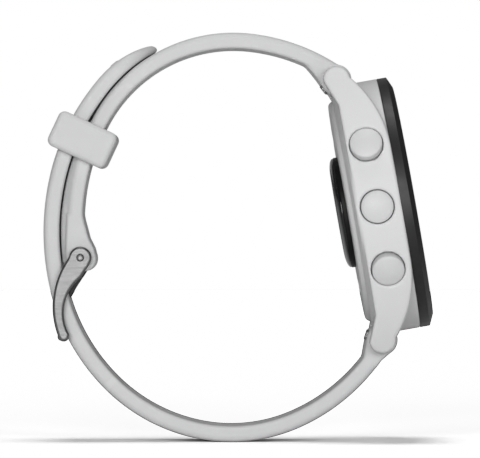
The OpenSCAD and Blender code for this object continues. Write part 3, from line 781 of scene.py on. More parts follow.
def on_a_ring(name: str, item: Piece, count: int, ring: Triple, finish: Finishes) -> Piece:
    """Copies an item round a ring in the case frame.

    Args:
        name: the piece's name.
        item: one of them, standing on z; it is used up.
        count: how many.
        ring: the ring's radius, the angle of the first in degrees, and its z.
        finish: their finish.

    Returns:
        The plain piece.
    """
    radius, start, depth = ring
    g = Nodes("ring_of_items")
    links = {"Vertices": g.given("Count", "Int", count), "Radius": g.given("Circle Radius", "Float", radius)}
    placed = g.add("GeometryNodeTransform", {
        "Geometry": g.add("GeometryNodeMeshCircle", links).outputs[0],
        "Translation": g.vector(Z=g.given("Depth", "Float", depth)),
        "Rotation": g.vector(Z=g.given("Start Angle", "Float", math.radians(start))),
    })
    return g.repeated(name, placed.outputs[0], item, finish)


def in_a_row(name: str, item: Piece, count: int, first: Triple, step: float, finish: Finishes) -> Piece:
    """Copies an item along a straight row in the case frame.

    Args:
        name: the piece's name.
        item: one of them; it is used up.
        count: how many.
        first: place of the first.
        step: spacing along x.
        finish: their finish.

    Returns:
        The plain piece.
    """
    g = Nodes("row_of_items")
    row = g.add("GeometryNodeMeshLine", {
        "Count": g.given("Count", "Int", count), "Start Location": g.given("First", "Vector", first),
        "Offset": g.vector(X=g.given("Pitch", "Float", step)),
    })
    return g.repeated(name, row.outputs[0], item, finish)


@dataclass(frozen=True)
class ArcPath:
    """Line of a band's outer face in the side view: arcs end to end, straight beyond both ends.

    Attributes:
        start: first point.
        heading: direction at the start, in degrees.
        arcs: radius and angle of each arc.
        turn: 1 if the path turns left toward the wrist, -1 if right.
    """

    start: Point
    heading: float
    arcs: tuple[Point, ...]
    turn: int = 1

    def length(self) -> float:
        """Length of all the arcs."""
        return sum(r * math.radians(a) for r, a in self.arcs)

    def at(self, s: float) -> Triple:
        """Place and heading at a length along the path.

        Args:
            s: length from the start; it may lie beyond either end.

        Returns:
            The point, and the heading in radians.
        """
        x, y = self.start
        h = math.radians(self.heading)
        left = s
        if s > 0:
            for r, a in self.arcs:
                swept = min(left / r, math.radians(a))
                x += self.turn * r * (math.sin(h + self.turn * swept) - math.sin(h))
                y -= self.turn * r * (math.cos(h + self.turn * swept) - math.cos(h))
                h += self.turn * swept
                left -= swept * r
                if left <= 1e-9:
                    return x, y, h
        return x + left * math.cos(h), y + left * math.sin(h), h

    def unrolled(self, point: Point, at_end: bool = False) -> Point:
        """A point of the side view as (length along, depth below the outer face).

        Args:
            point: the point.
            at_end: whether to measure from the end, past which the band is straight.

        Returns:
            Length along the path and depth toward the wrist.
        """
        s = self.length() if at_end else 0.0
        x, y, h = self.at(s)
        dx, dy = point[0] - x, point[1] - y
        along = dx * math.cos(h) + dy * math.sin(h)
        return s + along, self.turn * (dy * math.cos(h) - dx * math.sin(h))

    def line(self, before: float, after: float, step: float = 0.2) -> Piece:
        """The path as a curve object.

        Args:
            before: straight length before the start.
            after: straight length past the end.
            step: spacing of its points.

        Returns:
            A poly curve in the side view's plane.
        """
        points = [self.at(s) for s in np.arange(-before, self.length() + after, step)]
        curve = bpy.data.curves.new("band_path", "CURVE")
        curve.dimensions = "3D"
        spline = curve.splines.new("POLY")
        spline.points.add(len(points) - 1)
        for p, (x, y, _) in zip(spline.points, points):
            p.co = (x, y, 0, 1)
        return linked("band_path", curve)

    def bent(self, name: str, flat: Shape, finish: Finishes) -> Piece:
        """Bends a straight moulding along the path.

        Args:
            name: the piece's name.
            flat: mesh with x along the path, y the depth below its outer face and z across.
            finish: the piece's finish.

        Returns:
            The plain piece in the side view's frame.
        """
        before, after = 8.0, 14.0
        line = self.line(before, after)
        g = Nodes("bend_along_path")
        spine, lead = g.item("Path", line), g.given("Lead", "Float", before)
        split = g.add("ShaderNodeSeparateXYZ", {0: g.add("GeometryNodeInputPosition").outputs[0]}).outputs
        reach = g.add("ShaderNodeMath", {0: split["X"], 1: lead}, operation="ADD").outputs[0]
        at = g.add("GeometryNodeSampleCurve", {"Curves": spine, "Length": reach}, mode="LENGTH").outputs
        unit = g.maths("NORMALIZE", g.maths("CROSS_PRODUCT", (0, 0, 1), at["Tangent"]))
        turn = g.given("Turn", "Float", float(self.turn))
        depth = g.add("ShaderNodeMath", {0: split["Y"], 1: turn}, operation="MULTIPLY").outputs[0]
        inward = g.add("ShaderNodeVectorMath", {0: unit, "Scale": depth}, operation="SCALE").outputs[0]
        place = g.maths("ADD", g.maths("ADD", at["Position"], inward), g.vector(Z=split["Z"]))
        placed = g.add("GeometryNodeSetPosition", {"Geometry": g.inputs.outputs["Geometry"], "Position": place})
        made = g.shape(name, placed.outputs[0], solid("flat_band", flat), finish, SIDE)
        bpy.data.objects.remove(line)
        return made


# ---------------- case


@dataclass
class CaseShell:
    """Round case body with a side arm at 9 and 3 o'clock that runs from lug to lug.

    Attributes:
        radius: radius of the round body.
        front: depth of the front rim.
        rear: depth of the body's rear rim.
        plan_radius: radius of each side in the front view.
        half_width: distance of the sides from the middle.
        slope_radius: radius of the front edge down to each lug.
        bar: spring bar's distance from the middle and depth.
        tip: radius of the lug tips.
        gap: gap between the lugs.
        cavity: radius of the space for the works.
        cover: radius of the rear cover's opening.
        boss: place of the screw bosses along x and y.
        pocket: radius of the button pockets.
        edge: radius of the outer edges.
        pitch: spacing of the mould's grid.
    """

    radius: float = 21.5
    front: float = -2.46
    rear: float = -10.1
    plan_radius: float = 43.3
    half_width: float = 21.6
    slope_radius: float = 20.0
    bar: Point = (BAR_REACH, BAR_DEPTH)
    tip: float = 2.25
    gap: float = 20.3
    cavity: float = 18.2
    cover: float = 19.2
    boss: float = 11.88
    pocket: float = 2.9
    edge: float = 0.45
    pitch: float = 0.25

    def outline(self) -> list[Point]:
        """Side view of an arm.

        Returns:
            Its corners, x toward 12 o'clock and y outward.
        """
        (x, y), big, small = self.bar, self.slope_radius, self.tip
        slope_x = x + small - 15.15
        end = math.atan2(math.sqrt(big**2 - (x - slope_x) ** 2), x - slope_x)
        rounds = ((slope_x, self.front - big, big, end), (x, y, small, -math.pi / 2))
        half = [
            (mx + radius * math.cos(a), my + radius * math.sin(a))
            for mx, my, radius, last in rounds for a in np.linspace(math.pi / 2, last, 24)
        ]
        half.append((x - 4.4, self.rear + 0.2))
        return half + [(-x, y) for x, y in reversed(half)]

    def side_at(self, angle: float) -> float:
        """Distance of the side's face from the case axis in a direction, in degrees."""
        offset = self.plan_radius - self.half_width
        c, s = abs(math.cos(math.radians(angle))), math.sin(math.radians(angle))
        return math.sqrt(self.plan_radius**2 - (offset * s) ** 2) - offset * c

    def shape(self) -> Shape:
        """Works out the solid and skins it.

        Returns:
            The mesh in the case frame.
        """
        reach = self.bar[0] + self.tip
        grid = Mould((-22, -reach, -11.7), (22, reach, self.front), (self.pitch,) * 3)
        x, y, z = grid.axes()
        r = span(x, y)
        offset = self.plan_radius - self.half_width
        plan = np.maximum(span(x + offset, y), span(x - offset, y)) - self.plan_radius
        arms = meet(plan, polygon(y, z, self.outline()), self.edge)
        body = meet(meet(r - self.radius, z - self.front, 0.12), self.rear - z, 0.3)
        rim = meet(r - np.minimum(19.4 + (z + 10.7) / 0.6 * 1.9, 21.3), -10.7 - z, 0.15)
        d = join(arms, join(body, meet(rim, z - self.rear - 0.4, 0.1), 0.2), 0.25)
        off_boss = span(np.abs(x) - self.boss, np.abs(y) - self.boss)
        off_bar, across = span(np.abs(y) - self.bar[0], z - self.bar[1]), np.abs(x) - self.gap / 2
        open_end = np.maximum(self.bar[0] - np.abs(y), np.abs(z - self.bar[1] - 2) - 8)
        d = carve(
            d,
            (meet(r - 19.9, -3.6 - z, 0.1), 0.12),  # recess for the bezel
            (meet(r - self.cover, z + 9.25, 0.1), 0.15),  # opening for the rear cover
            (meet(r - self.cavity, -meet(off_boss - 1.7, z + 5.6, 0.1), 0.2), 0.12),  # room round the bosses
            (meet(off_boss - 0.8, z + 6, 0.05), 0.05),  # screw holes
            (meet(np.minimum(off_bar - 2.9, open_end), across, 0.3), 0.35),  # gap between the lugs
            (meet(off_bar - 0.45, across - 1.25, 0.05), 0.05),  # blind holes for the spring bars
        )
        for angle in BUTTONS.values():
            c, s = math.cos(math.radians(angle)), math.sin(math.radians(angle))
            out, off = x * c + y * s, span(y * c - x * s, z - BUTTON_DEPTH)
            room = meet(off - self.pocket, self.side_at(angle) - 1.8 - out, 0.1)
            bush = np.maximum(off - 1.52, 14 - out)
            d = carve(d, (meet(room, out - 40, 0.1), 0.16), (bush, 0.05))
        return grid.skin(d)

    def build(self) -> None:
        """Makes the shell."""
        dressed(solid("case_moulding", self.shape(), CASE), Finishes.CASE, "case", "case_shell")


@dataclass
class Front:
    """Bezel ring and lens.

    Attributes:
        radius: outer radius of the bezel.
        depth: depth of the bezel.
        chamfer: width and depth of its chamfer.
        lens: radius of the lens.
    """

    radius: float = 21.5
    depth: float = 2.46
    chamfer: Point = (1.8, 0.82)
    lens: float = 18.1

    def bezel(self) -> Shape:
        """The bezel's ring, with eased edges.

        Returns:
            The mesh in the case frame.
        """
        r, d, seat = self.radius, self.depth, self.lens + 0.1
        outline = [
            (seat, 0), (r - self.chamfer[0], 0), (r, -self.chamfer[1]), (r, -d), (19.8, -d), (19.8, -d - 0.5),
            (18.4, -d - 0.5), (18.4, -d), (16.8, -d), (16.8, -1.35), (seat, -1.35),
        ]
        ease = [0.15, 0.2, 0.14, 0.12, 0.05, 0.1, 0.1, 0.05, 0.1, 0.1, 0.05]
        return revolved(softened(outline, ease), segments=256)

    def glass(self) -> Shape:
        """The lens, with a ground edge."""
        outline = [(0, -1.2), (self.lens, -1.2), (self.lens, -0.3), (self.lens - 0.2, -0.1), (0, -0.1)]
        return spun(outline, [0, 0.08, 0.08, 0.08, 0], 256)

    def build(self) -> None:
        """Makes both."""
        dressed(solid("bezel_ring", self.bezel(), CASE), Finishes.BEZEL, "case", "bezel")
        dressed(solid("lens_disc", self.glass(), CASE), Finishes.LENS, "case", "lens")


@dataclass
class Rear:
    """Rear cover with its screws, charging recess and sensor bump.

    Attributes:
        radius: radius of the cover.
        rear: depth of the cover's flat rear face.
        front: depth of its front face.
        screw_circle: radius of the screws' circle.
        port: distance of the contacts from the middle.
        contact_pitch: spacing of the contacts.
        sensor: radius of the sensor's ring.
        ring_rear: depth of the ring's rear face.
        lens_rear: depth of the sensor lens's flat top.
        pitch: spacing of the mould's grid.
    """

    radius: float = 19.1
    rear: float = -11.4
    front: float = -9.3
    screw_circle: float = 16.8
    port: float = 13.2
    contact_pitch: float = 1.6
    sensor: float = 9.5
    ring_rear: float = -12.2
    lens_rear: float = -13.05
    pitch: float = 0.23

    def cover(self) -> Shape:
        """The cover: a dished disc with pockets for the screws and contacts.

        Returns:
            The mesh in the case frame.
        """
        reach = self.radius
        grid = Mould((-reach, -reach, self.rear), (reach, reach, self.front), (self.pitch, self.pitch, 0.15))
        x, y, z = grid.axes()
        r = span(x, y)
        place = self.screw_circle * math.sqrt(0.5)
        off = span(np.abs(x) - place, np.abs(y) - place)
        d = meet(meet(r - self.radius, z - self.front, 0.1), self.rear - z, 0.1)
        d = meet(d, (r - 18.5 - (z - self.rear) * 0.857) * 0.76, 0.25)
        d = carve(
            d,
            (meet(meet(r - 14.6, 9.1 - r, 0.1), -10.2 - z, 0.1), 0.1),  # hollow round the sensor
            (r - 8.0, 0.1),  # hole for the sensor's plug
            (meet(meet(r - 18.95, 18.35 - r, 0.05), -9.85 - z, 0.05), 0.05),  # groove for the seal
            (meet(off - 1.5, z - self.rear - 0.9, 0.05), 0.15),  # counterbores
            (off - 0.9, 0.05),  # screw holes
            (meet(rectangle(x, y + self.port, 3.4, 1.1, 0.5), z - self.rear - 0.6, 0.1), 0.15),  # charging recess
        )
        for i in (-1.5, -0.5, 0.5, 1.5):
            d = carve(d, (span(x - i * self.contact_pitch, y + self.port) - 0.45, 0.02))
        return grid.skin(d)

    def screw(self) -> Piece:
        """One screw, its socket facing the wrist.

        Returns:
            The screw in millimetres.
        """
        outline = [
            (0, 0.62), (0.3, 0.6), (0.68, 0.5), (0.7, 0.02), (1.15, 0), (1.4, 0.14), (1.4, 0.8), (0.8, 0.8),
            (0.8, 5.0), (0, 5.1),
        ]
        verts, faces = spun(outline, [0, 0, 0.03, 0.04, 0.15, 0.15, 0.05, 0.08, 0.1, 0], 48)
        r = np.hypot(verts[:, 0], verts[:, 1])
        lobes = (r < 0.75) & (verts[:, 2] < 0.55) & (r > 0.5)
        wave = 0.5 + 0.5 * np.cos(6 * np.arctan2(verts[lobes, 1], verts[lobes, 0]))
        verts[lobes, :2] *= (1 - 0.14 * wave)[:, None]
        return solid("one_screw", (verts, faces))

    def contact(self) -> Piece:
        """One contact with a domed face, in millimetres."""
        outline = [(0, 0), (0.38, 0.03), (0.43, 0.2), (0.43, 1.4), (0, 1.4)]
        return solid("one_contact", spun(outline, [0, 0.1, 0.1, 0.05, 0], 40))

    def ring(self) -> Shape:
        """The sensor's dark ring and its plug.

        Returns:
            The mesh in the case frame.
        """
        wide, bore, plug = self.sensor, 6.8, self.sensor - 1.6
        face, seat, top = self.ring_rear, self.rear, self.rear + 1.1
        outline = [(bore, face), (wide, face), (wide, seat), (plug, seat), (plug, top), (bore, top)]
        return revolved(softened(outline, [0.05, 0.25, 0.08, 0.05, 0.1, 0.1]))

    def dome(self) -> Shape:
        """The sensor's lens, domed at its edge and flat on top.

        Returns:
            The mesh in the case frame.
        """
        edge, drop, wide = 2.4, 0.8, self.sensor - 0.1
        outline = [(0, self.ring_rear), (wide, self.ring_rear)]
        for a in np.linspace(0, math.pi / 2, 14):
            outline.append((wide - edge + edge * math.cos(a), self.ring_rear - 0.05 - drop * math.sin(a)))
        outline += [(4.0, self.lens_rear), (2.0, self.lens_rear), (0, self.lens_rear)]
        return revolved(outline, closed=False)

    def build(self) -> None:
        """Makes the cover, screws, contacts and sensor."""
        dressed(solid("cover_moulding", self.cover(), CASE), Finishes.COVER, "case", "rear_cover")
        ring = (self.screw_circle, 45, self.rear + 0.12)
        screws = on_a_ring("cover_screws", self.screw(), 4, ring, Finishes.SCREW)
        dressed(screws, Finishes.SCREW, "case", "rear_cover_screws")
        first = (-1.5 * self.contact_pitch, -self.port, self.rear + 0.47)
        pins = in_a_row("contact_pins", self.contact(), 4, first, self.contact_pitch, Finishes.GOLD)
        dressed(pins, Finishes.GOLD, "case", "charge_contacts")
        dressed(solid("sensor_bezel", self.ring(), CASE), Finishes.SENSOR_RING, "case", "sensor_housing")
        dressed(solid("sensor_dome", self.dome(), CASE), Finishes.SENSOR_LENS, "case", "sensor_lens")


@dataclass
class PushButton:
    """Domed cap on a stem that carries a seal and a clip.

    Attributes:
        name: place of the button.
        angle: its direction from 3 o'clock.
        side: distance of the case side there.
        radius: radius of the cap.
        proud: how far the cap stands out.
        dome: height of its dome.
        stem: radius of the stem.
        groove: radius of its grooves.
        seal: distance of the seal's groove from the case axis.
        clip: distance of the clip's groove from the case axis.
    """

    name: str
    angle: float
    side: float
    radius: float = 2.75
    proud: float = 1.0
    dome: float = 0.5
    stem: float = 0.9
    groove: float = 0.6
    seal: float = 18.9
    clip: float = 17.6

    def shape(self) -> Shape:
        """The cap, its spring room and the stem, turned in one.

        Returns:
            The mesh in the button's frame, z outward.
        """
        face, wide, stem = self.side, self.radius, self.stem
        top, under = face + self.proud, face - 0.9
        rim = top - self.dome
        dome_r = (wide**2 + self.dome**2) / (2 * self.dome)
        outline = [(0, top)]
        for x in np.linspace(0.1, 1, 12) * (wide - 0.35):
            outline.append((x, top - dome_r + math.sqrt(dome_r**2 - x**2)))
        ease = [0] * len(outline) + [0.2, 0.1, 0.1, 0.03, 0.03, 0.03, 0.03, 0.05] + [0.02] * 8 + [0.1, 0]
        outline += [
            (wide - 0.08, rim - 0.02), (wide, rim - 0.2), (wide, under), (2.15, under), (2.15, face),
            (1.25, face), (1.25, under), (stem, under),
        ]
        for at, half in ((self.seal, 0.145), (self.clip, 0.15)):
            outline += [(stem, at + half), (self.groove, at + half), (self.groove, at - half), (stem, at - half)]
        return spun([*outline, (stem, 17.2), (0, 17.2)], ease, 120)

    def build(self) -> None:
        """Makes the button."""
        seat = CASE @ moved(0, 0, BUTTON_DEPTH) @ turned(self.angle, "Z") @ turned(90, "Y")
        body = f"button_{self.name}"
        dressed(solid(f"cap_{self.name}", self.shape(), seat), Finishes.BUTTON, body, body)


# ---------------- band


@dataclass
class Band:
    """What the two halves of the band share.

    Attributes:
        width: width of the band.
        thick: its thickness.
        shoulder: radius of its outer edges.
        inner_edge: radius of its inner edges.
        inset: how far the outer face lies inside the arc.
        barrel: radius of the end round the spring bar.
        slant: direction of the release knob from the bar, in degrees.
        bore: radius of the spring bar's bore.
        knob: distance across of the release knob's slot from the middle, and half its length.
    """

    width: float = 20.0
    thick: float = 2.7
    shoulder: float = 1.2
    inner_edge: float = 0.55
    inset: float = 0.02
    barrel: float = 2.6
    slant: float = 208.0
    bore: float = 0.85
    knob: Point = (4.55, 1.85)

    def strip(self, plan: Array, depth: Array, thick: Array | float) -> Array:
        """Cross-section of the band.

        Args:
            plan: distance to its outline seen flat.
            depth: depth below its outer face.
            thick: its thickness there.

        Returns:
            Distance to the strip.
        """
        return meet(meet(plan, self.inset - depth, self.shoulder), depth - thick, self.inner_edge)

    def depth_of(self, s: float, middle: Point, radius: float) -> float | None:
        """Depth below the outer face at which a circle of the side view lies.

        Args:
            s: length along the path.
            middle: the circle's middle.
            radius: its radius.

        Returns:
            The depth, less than 0 outside the band, or None where the circle isn't met.
        """
        x, y, h = self.path.at(s)
        nx, ny = self.path.turn * -math.sin(h), self.path.turn * math.cos(h)
        dx, dy = x - middle[0], y - middle[1]
        b = dx * nx + dy * ny
        root = b * b - (dx * dx + dy * dy - radius**2)
        return None if root < 0 else -b - math.sqrt(root)

    def bar_end(
        self, d: Array, bar: Point, wedge: Sequence[Point], s: Array, u: Array, z: Array
    ) -> Array:
        """Adds the barrel and its wedge, and cuts the bar's bore and the knob's slot.

        Args:
            d: distance to the strip.
            bar: the spring bar in the side view.
            wedge: what fills the corner between barrel and strip, laid flat.
            s: length along the path.
            u: depth below the outer face.
            z: distance across, toward the camera side.

        Returns:
            Distance to the strip with its barrel.
        """
        at = self.path.unrolled(bar)
        along, down = s - at[0], u - at[1]
        off, across = span(along, down), np.abs(z) - self.width / 2 + 0.1
        round_end = np.minimum(off - self.barrel, polygon(s, u, wedge))
        d = meet(join(d, meet(round_end, across, 0.6), 0.12), across - 0.1, 0.3)
        lean = math.radians(self.slant - abs(self.path.heading))
        a = along * math.cos(lean) + down * math.sin(lean)
        b = np.abs(down * math.cos(lean) - along * math.sin(lean))
        reach = np.abs(z - self.knob[0]) - self.knob[1]
        slot = meet(meet(b - 0.55, reach, 0.1), -a, 0.1)
        room = meet(meet(b - 1.2, reach, 0.2), 1.7 - a, 0.1)
        return carve(d, (off - self.bore, 0.1), (np.minimum(slot, room), 0.15))


@dataclass
class UpperBand(Band):
    """Short half, from the 12 o'clock lugs to the buckle.

    Attributes:
        pin: buckle pin in the side view.
        lug_shift: middle of the round end from the pin.
        lug: radius of the round end.
        slot: width of the tongue's slot.
        swell: middle and radius of the swelling below the keeper, on which the tail lies.
        swell_width: half width of the swelling.
        wedge: length of the wedge at the spring bar, and its turn in degrees.
        path: line of the outer face.
    """

    pin: Point = (-22.3757, 0.206)
    lug_shift: Point = (0.5, -0.3)
    lug: float = 2.1
    slot: float = 2.8
    swell: Triple = (14.027, -1.753, 39.55)
    swell_width: float = 9.1
    wedge: Point = (6.0, 20.0)
    path: ArcPath = ArcPath((27.0, 24.3), 135.6, ((34.1, 28.4), (26.9, 67.1), (37.8, 29.9)))

    def shape(self) -> Shape:
        """The half laid flat.

        Returns:
            The mesh, x along the path, y the depth below the outer face and z across.
        """
        length = self.path.length()
        grid = Mould((-3.4, -1.6, -10), (length + 9, 7.5, 10), (0.28, 0.2, 0.26))
        s, u, z = grid.axes()
        across = np.abs(z) - self.width / 2
        end = (self.pin[0] + self.lug_shift[0], self.pin[1] + self.lug_shift[1])
        sides = [(self.pin[0] - 2.2, self.pin[1] + 1.9), (self.pin[0] - 2.45, self.pin[1] + 0.2)]
        corners = ((-1.6, -1.36), (self.lug, 0), (self.lug - 0.1, 1.5), (1.45, 3.3))
        sides += [(end[0] + dx, end[1] + dy) for dx, dy in corners]
        neck = [(length - 2, 0.05), *(self.path.unrolled(p, True) for p in sides), (length - 2, self.thick - 0.05)]
        middle = self.path.unrolled(end, True)
        plan = np.maximum(np.maximum(across, s - length - 0.3), -s - 0.2)
        side = join(polygon(s, u, neck), span(s - middle[0], u - middle[1]) - self.lug, 0.06)
        d = join(self.strip(plan, u, self.thick), meet(side, across, 0.5), 0.15)
        # The swelling on which the tail lies.
        tops = [self.depth_of(float(v), self.swell[:2], self.swell[2]) or 0.0 for v in s.ravel()]
        top = np.array(tops, np.float32).reshape(s.shape)
        stretch = np.maximum(length - 14 - s, s - length - 6.6)
        crest = meet(meet(np.abs(z) - self.swell_width, top - u, self.shoulder), stretch, 0.6)
        d = join(d, np.maximum(crest, u - 1.4), 0.5)
        at, far, lean = self.path.unrolled(BAR_AT), self.wedge[0], math.radians(self.wedge[1])
        tangent = (at[0] + self.barrel * math.sin(lean), at[1] + self.barrel * math.cos(lean))
        d = self.bar_end(d, BAR_AT, [at, tangent, (far, self.thick - 0.02), (far, self.thick / 2)], s, u, z)
        # The buckle pin's bore and the room for the tongue.
        at = self.path.unrolled(self.pin, True)
        off = span(s - at[0], u - at[1])
        box = [(self.pin[0] + dx, self.pin[1] + dy) for dx, dy in ((-6, -8), (6, -8), (6, 1.55), (-6, 1.55))]
        room = np.minimum(off - 1.95, polygon(s, u, [self.path.unrolled(p, True) for p in box]))
        d = carve(d, (off - 0.8, 0.1), (meet(room, np.abs(z) - self.slot / 2, 0.2), 0.25))
        return grid.skin(d)

    def build(self) -> None:
        """Makes the half."""
        piece = self.path.bent("upper_band", self.shape(), Finishes.BAND)
        dressed(piece, Finishes.BAND, "case", "upper_strap")


@dataclass
class LowerBand(Band):
    """Long half, from the 6 o'clock lugs under the wrist, with its fastening holes.

    Attributes:
        hole: length and width of a hole.
        hole_at: length along the path of the buckled hole.
        hole_pitch: distance from hole to hole.
        holes: index of the first and last hole from the buckled one.
        ridge: place from the tip, length, width and height of the ridge on the tail.
        crown: middle of the upper band's outer face where the tail lies on it.
        crown_radius: radius of the hollow under the tail.
        path: line of the outer face.
    """

    hole: Point = (5.0, 2.6)
    hole_at: float = 70.7
    hole_pitch: float = 7.2
    holes: tuple[int, int] = (-4, 5)
    ridge: tuple[float, float, float, float] = (7.9, 1.8, 7.0, 0.25)
    crown: Point = (5.126, 6.858)
    crown_radius: float = 27.15
    path: ArcPath = ArcPath(
        (24.8, -25.85), -135.2,
        ((33.6, 30.8), (28.6, 34.8), (30.8, 33.8), (34.9, 30.3), (42.5, 28.2), (38.8, 28.0), (18.0, 35.6)), -1,
    )

    def thickness(self, s: float) -> float:
        """Thickness of the band, less where the tail is hollowed.

        Args:
            s: length along the path.

        Returns:
            The thickness there.
        """
        if s < self.path.length() - 40:
            return self.thick
        depth = self.depth_of(s, self.crown, self.crown_radius)
        return min(self.thick, depth) if depth and depth > 0 else self.thick

    def shape(self) -> Shape:
        """The half laid flat.

        Returns:
            The mesh, x along the path, y the depth below the outer face and z across.
        """
        length = self.path.length()
        grid = Mould((-6, -1.2, -10), (length, 5, 10), (0.3, 0.2, 0.26))
        s, u, z = grid.axes()
        cap = self.width / 2 - 0.01
        plan = span(np.maximum(s - (length - cap), 0), z) - cap
        thick = np.array([self.thickness(float(v)) for v in s.ravel()], np.float32).reshape(s.shape)
        strip = self.strip(np.maximum(plan, -s - 0.4), u, thick)
        bar = (BAR_AT[0], -BAR_AT[1])
        points = ((0.643 * self.barrel, -0.765 * self.barrel), (-2.5, 0.7))
        first, last = (self.path.unrolled((bar[0] + dx, bar[1] + dy)) for dx, dy in points)
        wedge = [first, (0, 0.01), (1.5, 0.03), (1.5, self.thick - 0.02), last]
        back, long, wide, high = self.ridge
        ridge = meet(rectangle(s - length + back, z, long / 2, wide / 2, 0.3), np.abs(u - 0.4) - 0.4 - high, 0.12)
        d = self.bar_end(join(strip, ridge, 0.12), bar, wedge, s, u, z)
        # The row of fastening holes.
        step = np.clip(np.round((s - self.hole_at) / self.hole_pitch), *self.holes) * self.hole_pitch
        reach = (self.hole[0] - self.hole[1]) / 2
        slot = span(np.maximum(np.abs(s - self.hole_at - step) - reach, 0), z) - self.hole[1] / 2
        return grid.skin(carve(d, (slot, 0.3)))

    def build(self) -> None:
        """Makes the half."""
        piece = self.path.bent("lower_band", self.shape(), Finishes.BAND)
        dressed(piece, Finishes.BAND, "case", "lower_strap")


@dataclass
class Keeper:
    """Loop that holds the tail down.

    Attributes:
        axis: middle of the arc that it slides along.
        arc: radius of that arc.
        at_angle: where it stands on the arc, in degrees.
        turn: its own turn.
        size: height across the bands, length along them and width.
        bore: inner face, outer face and half width of its opening.
    """

    axis: Point = (13.6089, 0.0128)
    arc: float = 37.8
    at_angle: float = 148.3
    turn: float = 145.0
    size: Triple = (10.8, 6.4, 24.1)
    bore: Triple = (-3.2, 3.85, 10.35)

    def shape(self) -> Shape:
        """The loop, soft at every edge.

        Returns:
            The mesh in the keeper's own frame.
        """
        hx, hy, hz = (v / 2 for v in self.size)
        grid = Mould((-hx, -hy, -hz), (hx, hy, hz), (0.16, 0.16, 0.18))
        x, y, z = grid.axes()
        d = meet(rectangle(x, y, hx, hy, 1.2), np.abs(z) - hz, 0.9)
        low, high, wide = self.bore
        room = rectangle(x - (low + high) / 2, z, (high - low) / 2, wide, 0.6)
        return grid.skin(carve(d, (room, 0.35)))

    def build(self) -> None:
        """Makes the keeper."""
        a = math.radians(self.at_angle)
        place = moved(self.axis[0] + self.arc * math.cos(a), self.axis[1] + self.arc * math.sin(a))
        piece = solid("keeper_loop", self.shape(), SIDE @ place @ turned(self.turn, "Z"))
        dressed(piece, Finishes.BAND, "keeper", "keeper")


# ---------------- buckle and bars


@dataclass
class Buckle:
    """Pin buckle: two curved arms joined by a bar, a tongue and the pin.

    Attributes:
        pin: place of the pin in the side view.
        pin_radius: radius of the pin between the arms.
        pin_end: radius of the pin in the arms.
        inner: distance of the arms' inner faces from the middle.
        arm: thickness of an arm.
        tongue: width of the tongue.
        facet: width of the bevel along the arms' edges.
    """

    pin: Point = (-22.3757, 0.206)
    pin_radius: float = 0.75
    pin_end: float = 0.5
    inner: float = 10.3
    arm: float = 1.6
    tongue: float = 2.0
    facet: float = 0.32

    def profile(self, x: Array, y: Array) -> Array:
        """Side view of an arm.

        Args:
            x: across from the pin.
            y: up from the pin.

        Returns:
            Distance in the plane.
        """
        bow = meet(span(x - 8, y + 9.75) - 14.2, 7.6 - span(x - 3.1, y + 10.05), 0.05)
        clip = [(1.2, -1.48), (-1.2, 1.48), (-8, 1.48), (-8, -12.6), (-4.25, -12.6), (3.1, -10.05), (-0.55, -3.4)]
        bow = np.maximum(bow, polygon(x, y, clip))
        return join(np.minimum(span(x, y) - 1.9, span(x + 5.05, y + 12.6) - 0.85), bow, 0.15)

    def frame(self) -> Shape:
        """The arms and the bar.

        Returns:
            The mesh in the frame of the pin.
        """
        outer = self.inner + self.arm
        grid = Mould((-6.6, -13.5, -outer), (2, 2, outer), (0.11, 0.11, 0.11))
        x, y, z = grid.axes()
        flat = np.maximum(np.abs(z) - outer, self.inner - np.abs(z))
        d = carve(bevel(self.profile(x, y), flat, self.facet), (span(x, y) - self.pin_end - 0.04, 0.02))
        bar = meet(span(x + 5.5, y + 12.65) - 0.6, np.abs(z) - self.inner - 0.1, 0.05)
        notch = meet(rectangle(x + 6.35, y + 12.65, 0.75, 1, 0.1), np.abs(z) - self.tongue / 2 - 0.3, 0.15)
        return grid.skin(join(d, carve(bar, (notch, 0.1)), 0.35))

    def prong(self) -> Shape:
        """The tongue.

        Returns:
            The mesh in the frame of the pin.
        """
        half = self.tongue / 2
        grid = Mould((-6.4, -12.8, -half), (1.6, 1.6, half), (0.09, 0.09, 0.09))
        x, y, z = grid.axes()
        outline = [
            (-1.3, -0.6), (-3.3, -5.45), (-6.05, -8.75), (-6.3, -12.7), (-5.72, -12.7), (-5.58, -9.3),
            (-2.9, -6.25), (-1.7, -4.8), (0.45, -2.5), (0.9, -1.2),
        ]
        side = join(span(x, y) - 1.55, polygon(x, y, outline), 0.1)
        d = meet(side, np.abs(z) - half, 0.22)
        return grid.skin(carve(d, (span(x, y) - self.pin_radius - 0.05, 0.05)))

    def rod(self) -> Shape:
        """The pin, with a turned ring on each riveted end.

        Returns:
            The mesh in the frame of the pin.
        """
        end = self.inner + self.arm + 0.1
        half = [
            (0, end), (0.3, end), (0.33, end - 0.05), (0.38, end - 0.05), (0.41, end), (self.pin_end, end - 0.06),
            (self.pin_end, self.inner - 0.05), (self.pin_radius, self.inner - 0.05), (self.pin_radius, 0),
        ]
        outline = half + [(r, -z) for r, z in reversed(half[:-1])]
        return spun(outline, 0.04, 96)

    def build(self) -> None:
        """Makes the frame, tongue and pin."""
        rows = (
            ("buckle_arms", self.frame, Finishes.BUCKLE, "buckle_frame", "buckle_frame"),
            ("buckle_prong", self.prong, Finishes.TONGUE_SHADED, "buckle_tongue", "buckle_tongue"),
            ("buckle_rod", self.rod, Finishes.BUCKLE, "case", "buckle_pin"),
        )
        for name, shape, finish, body, node in rows:
            dressed(solid(name, shape(), SIDE @ moved(*self.pin)), finish, body, node)


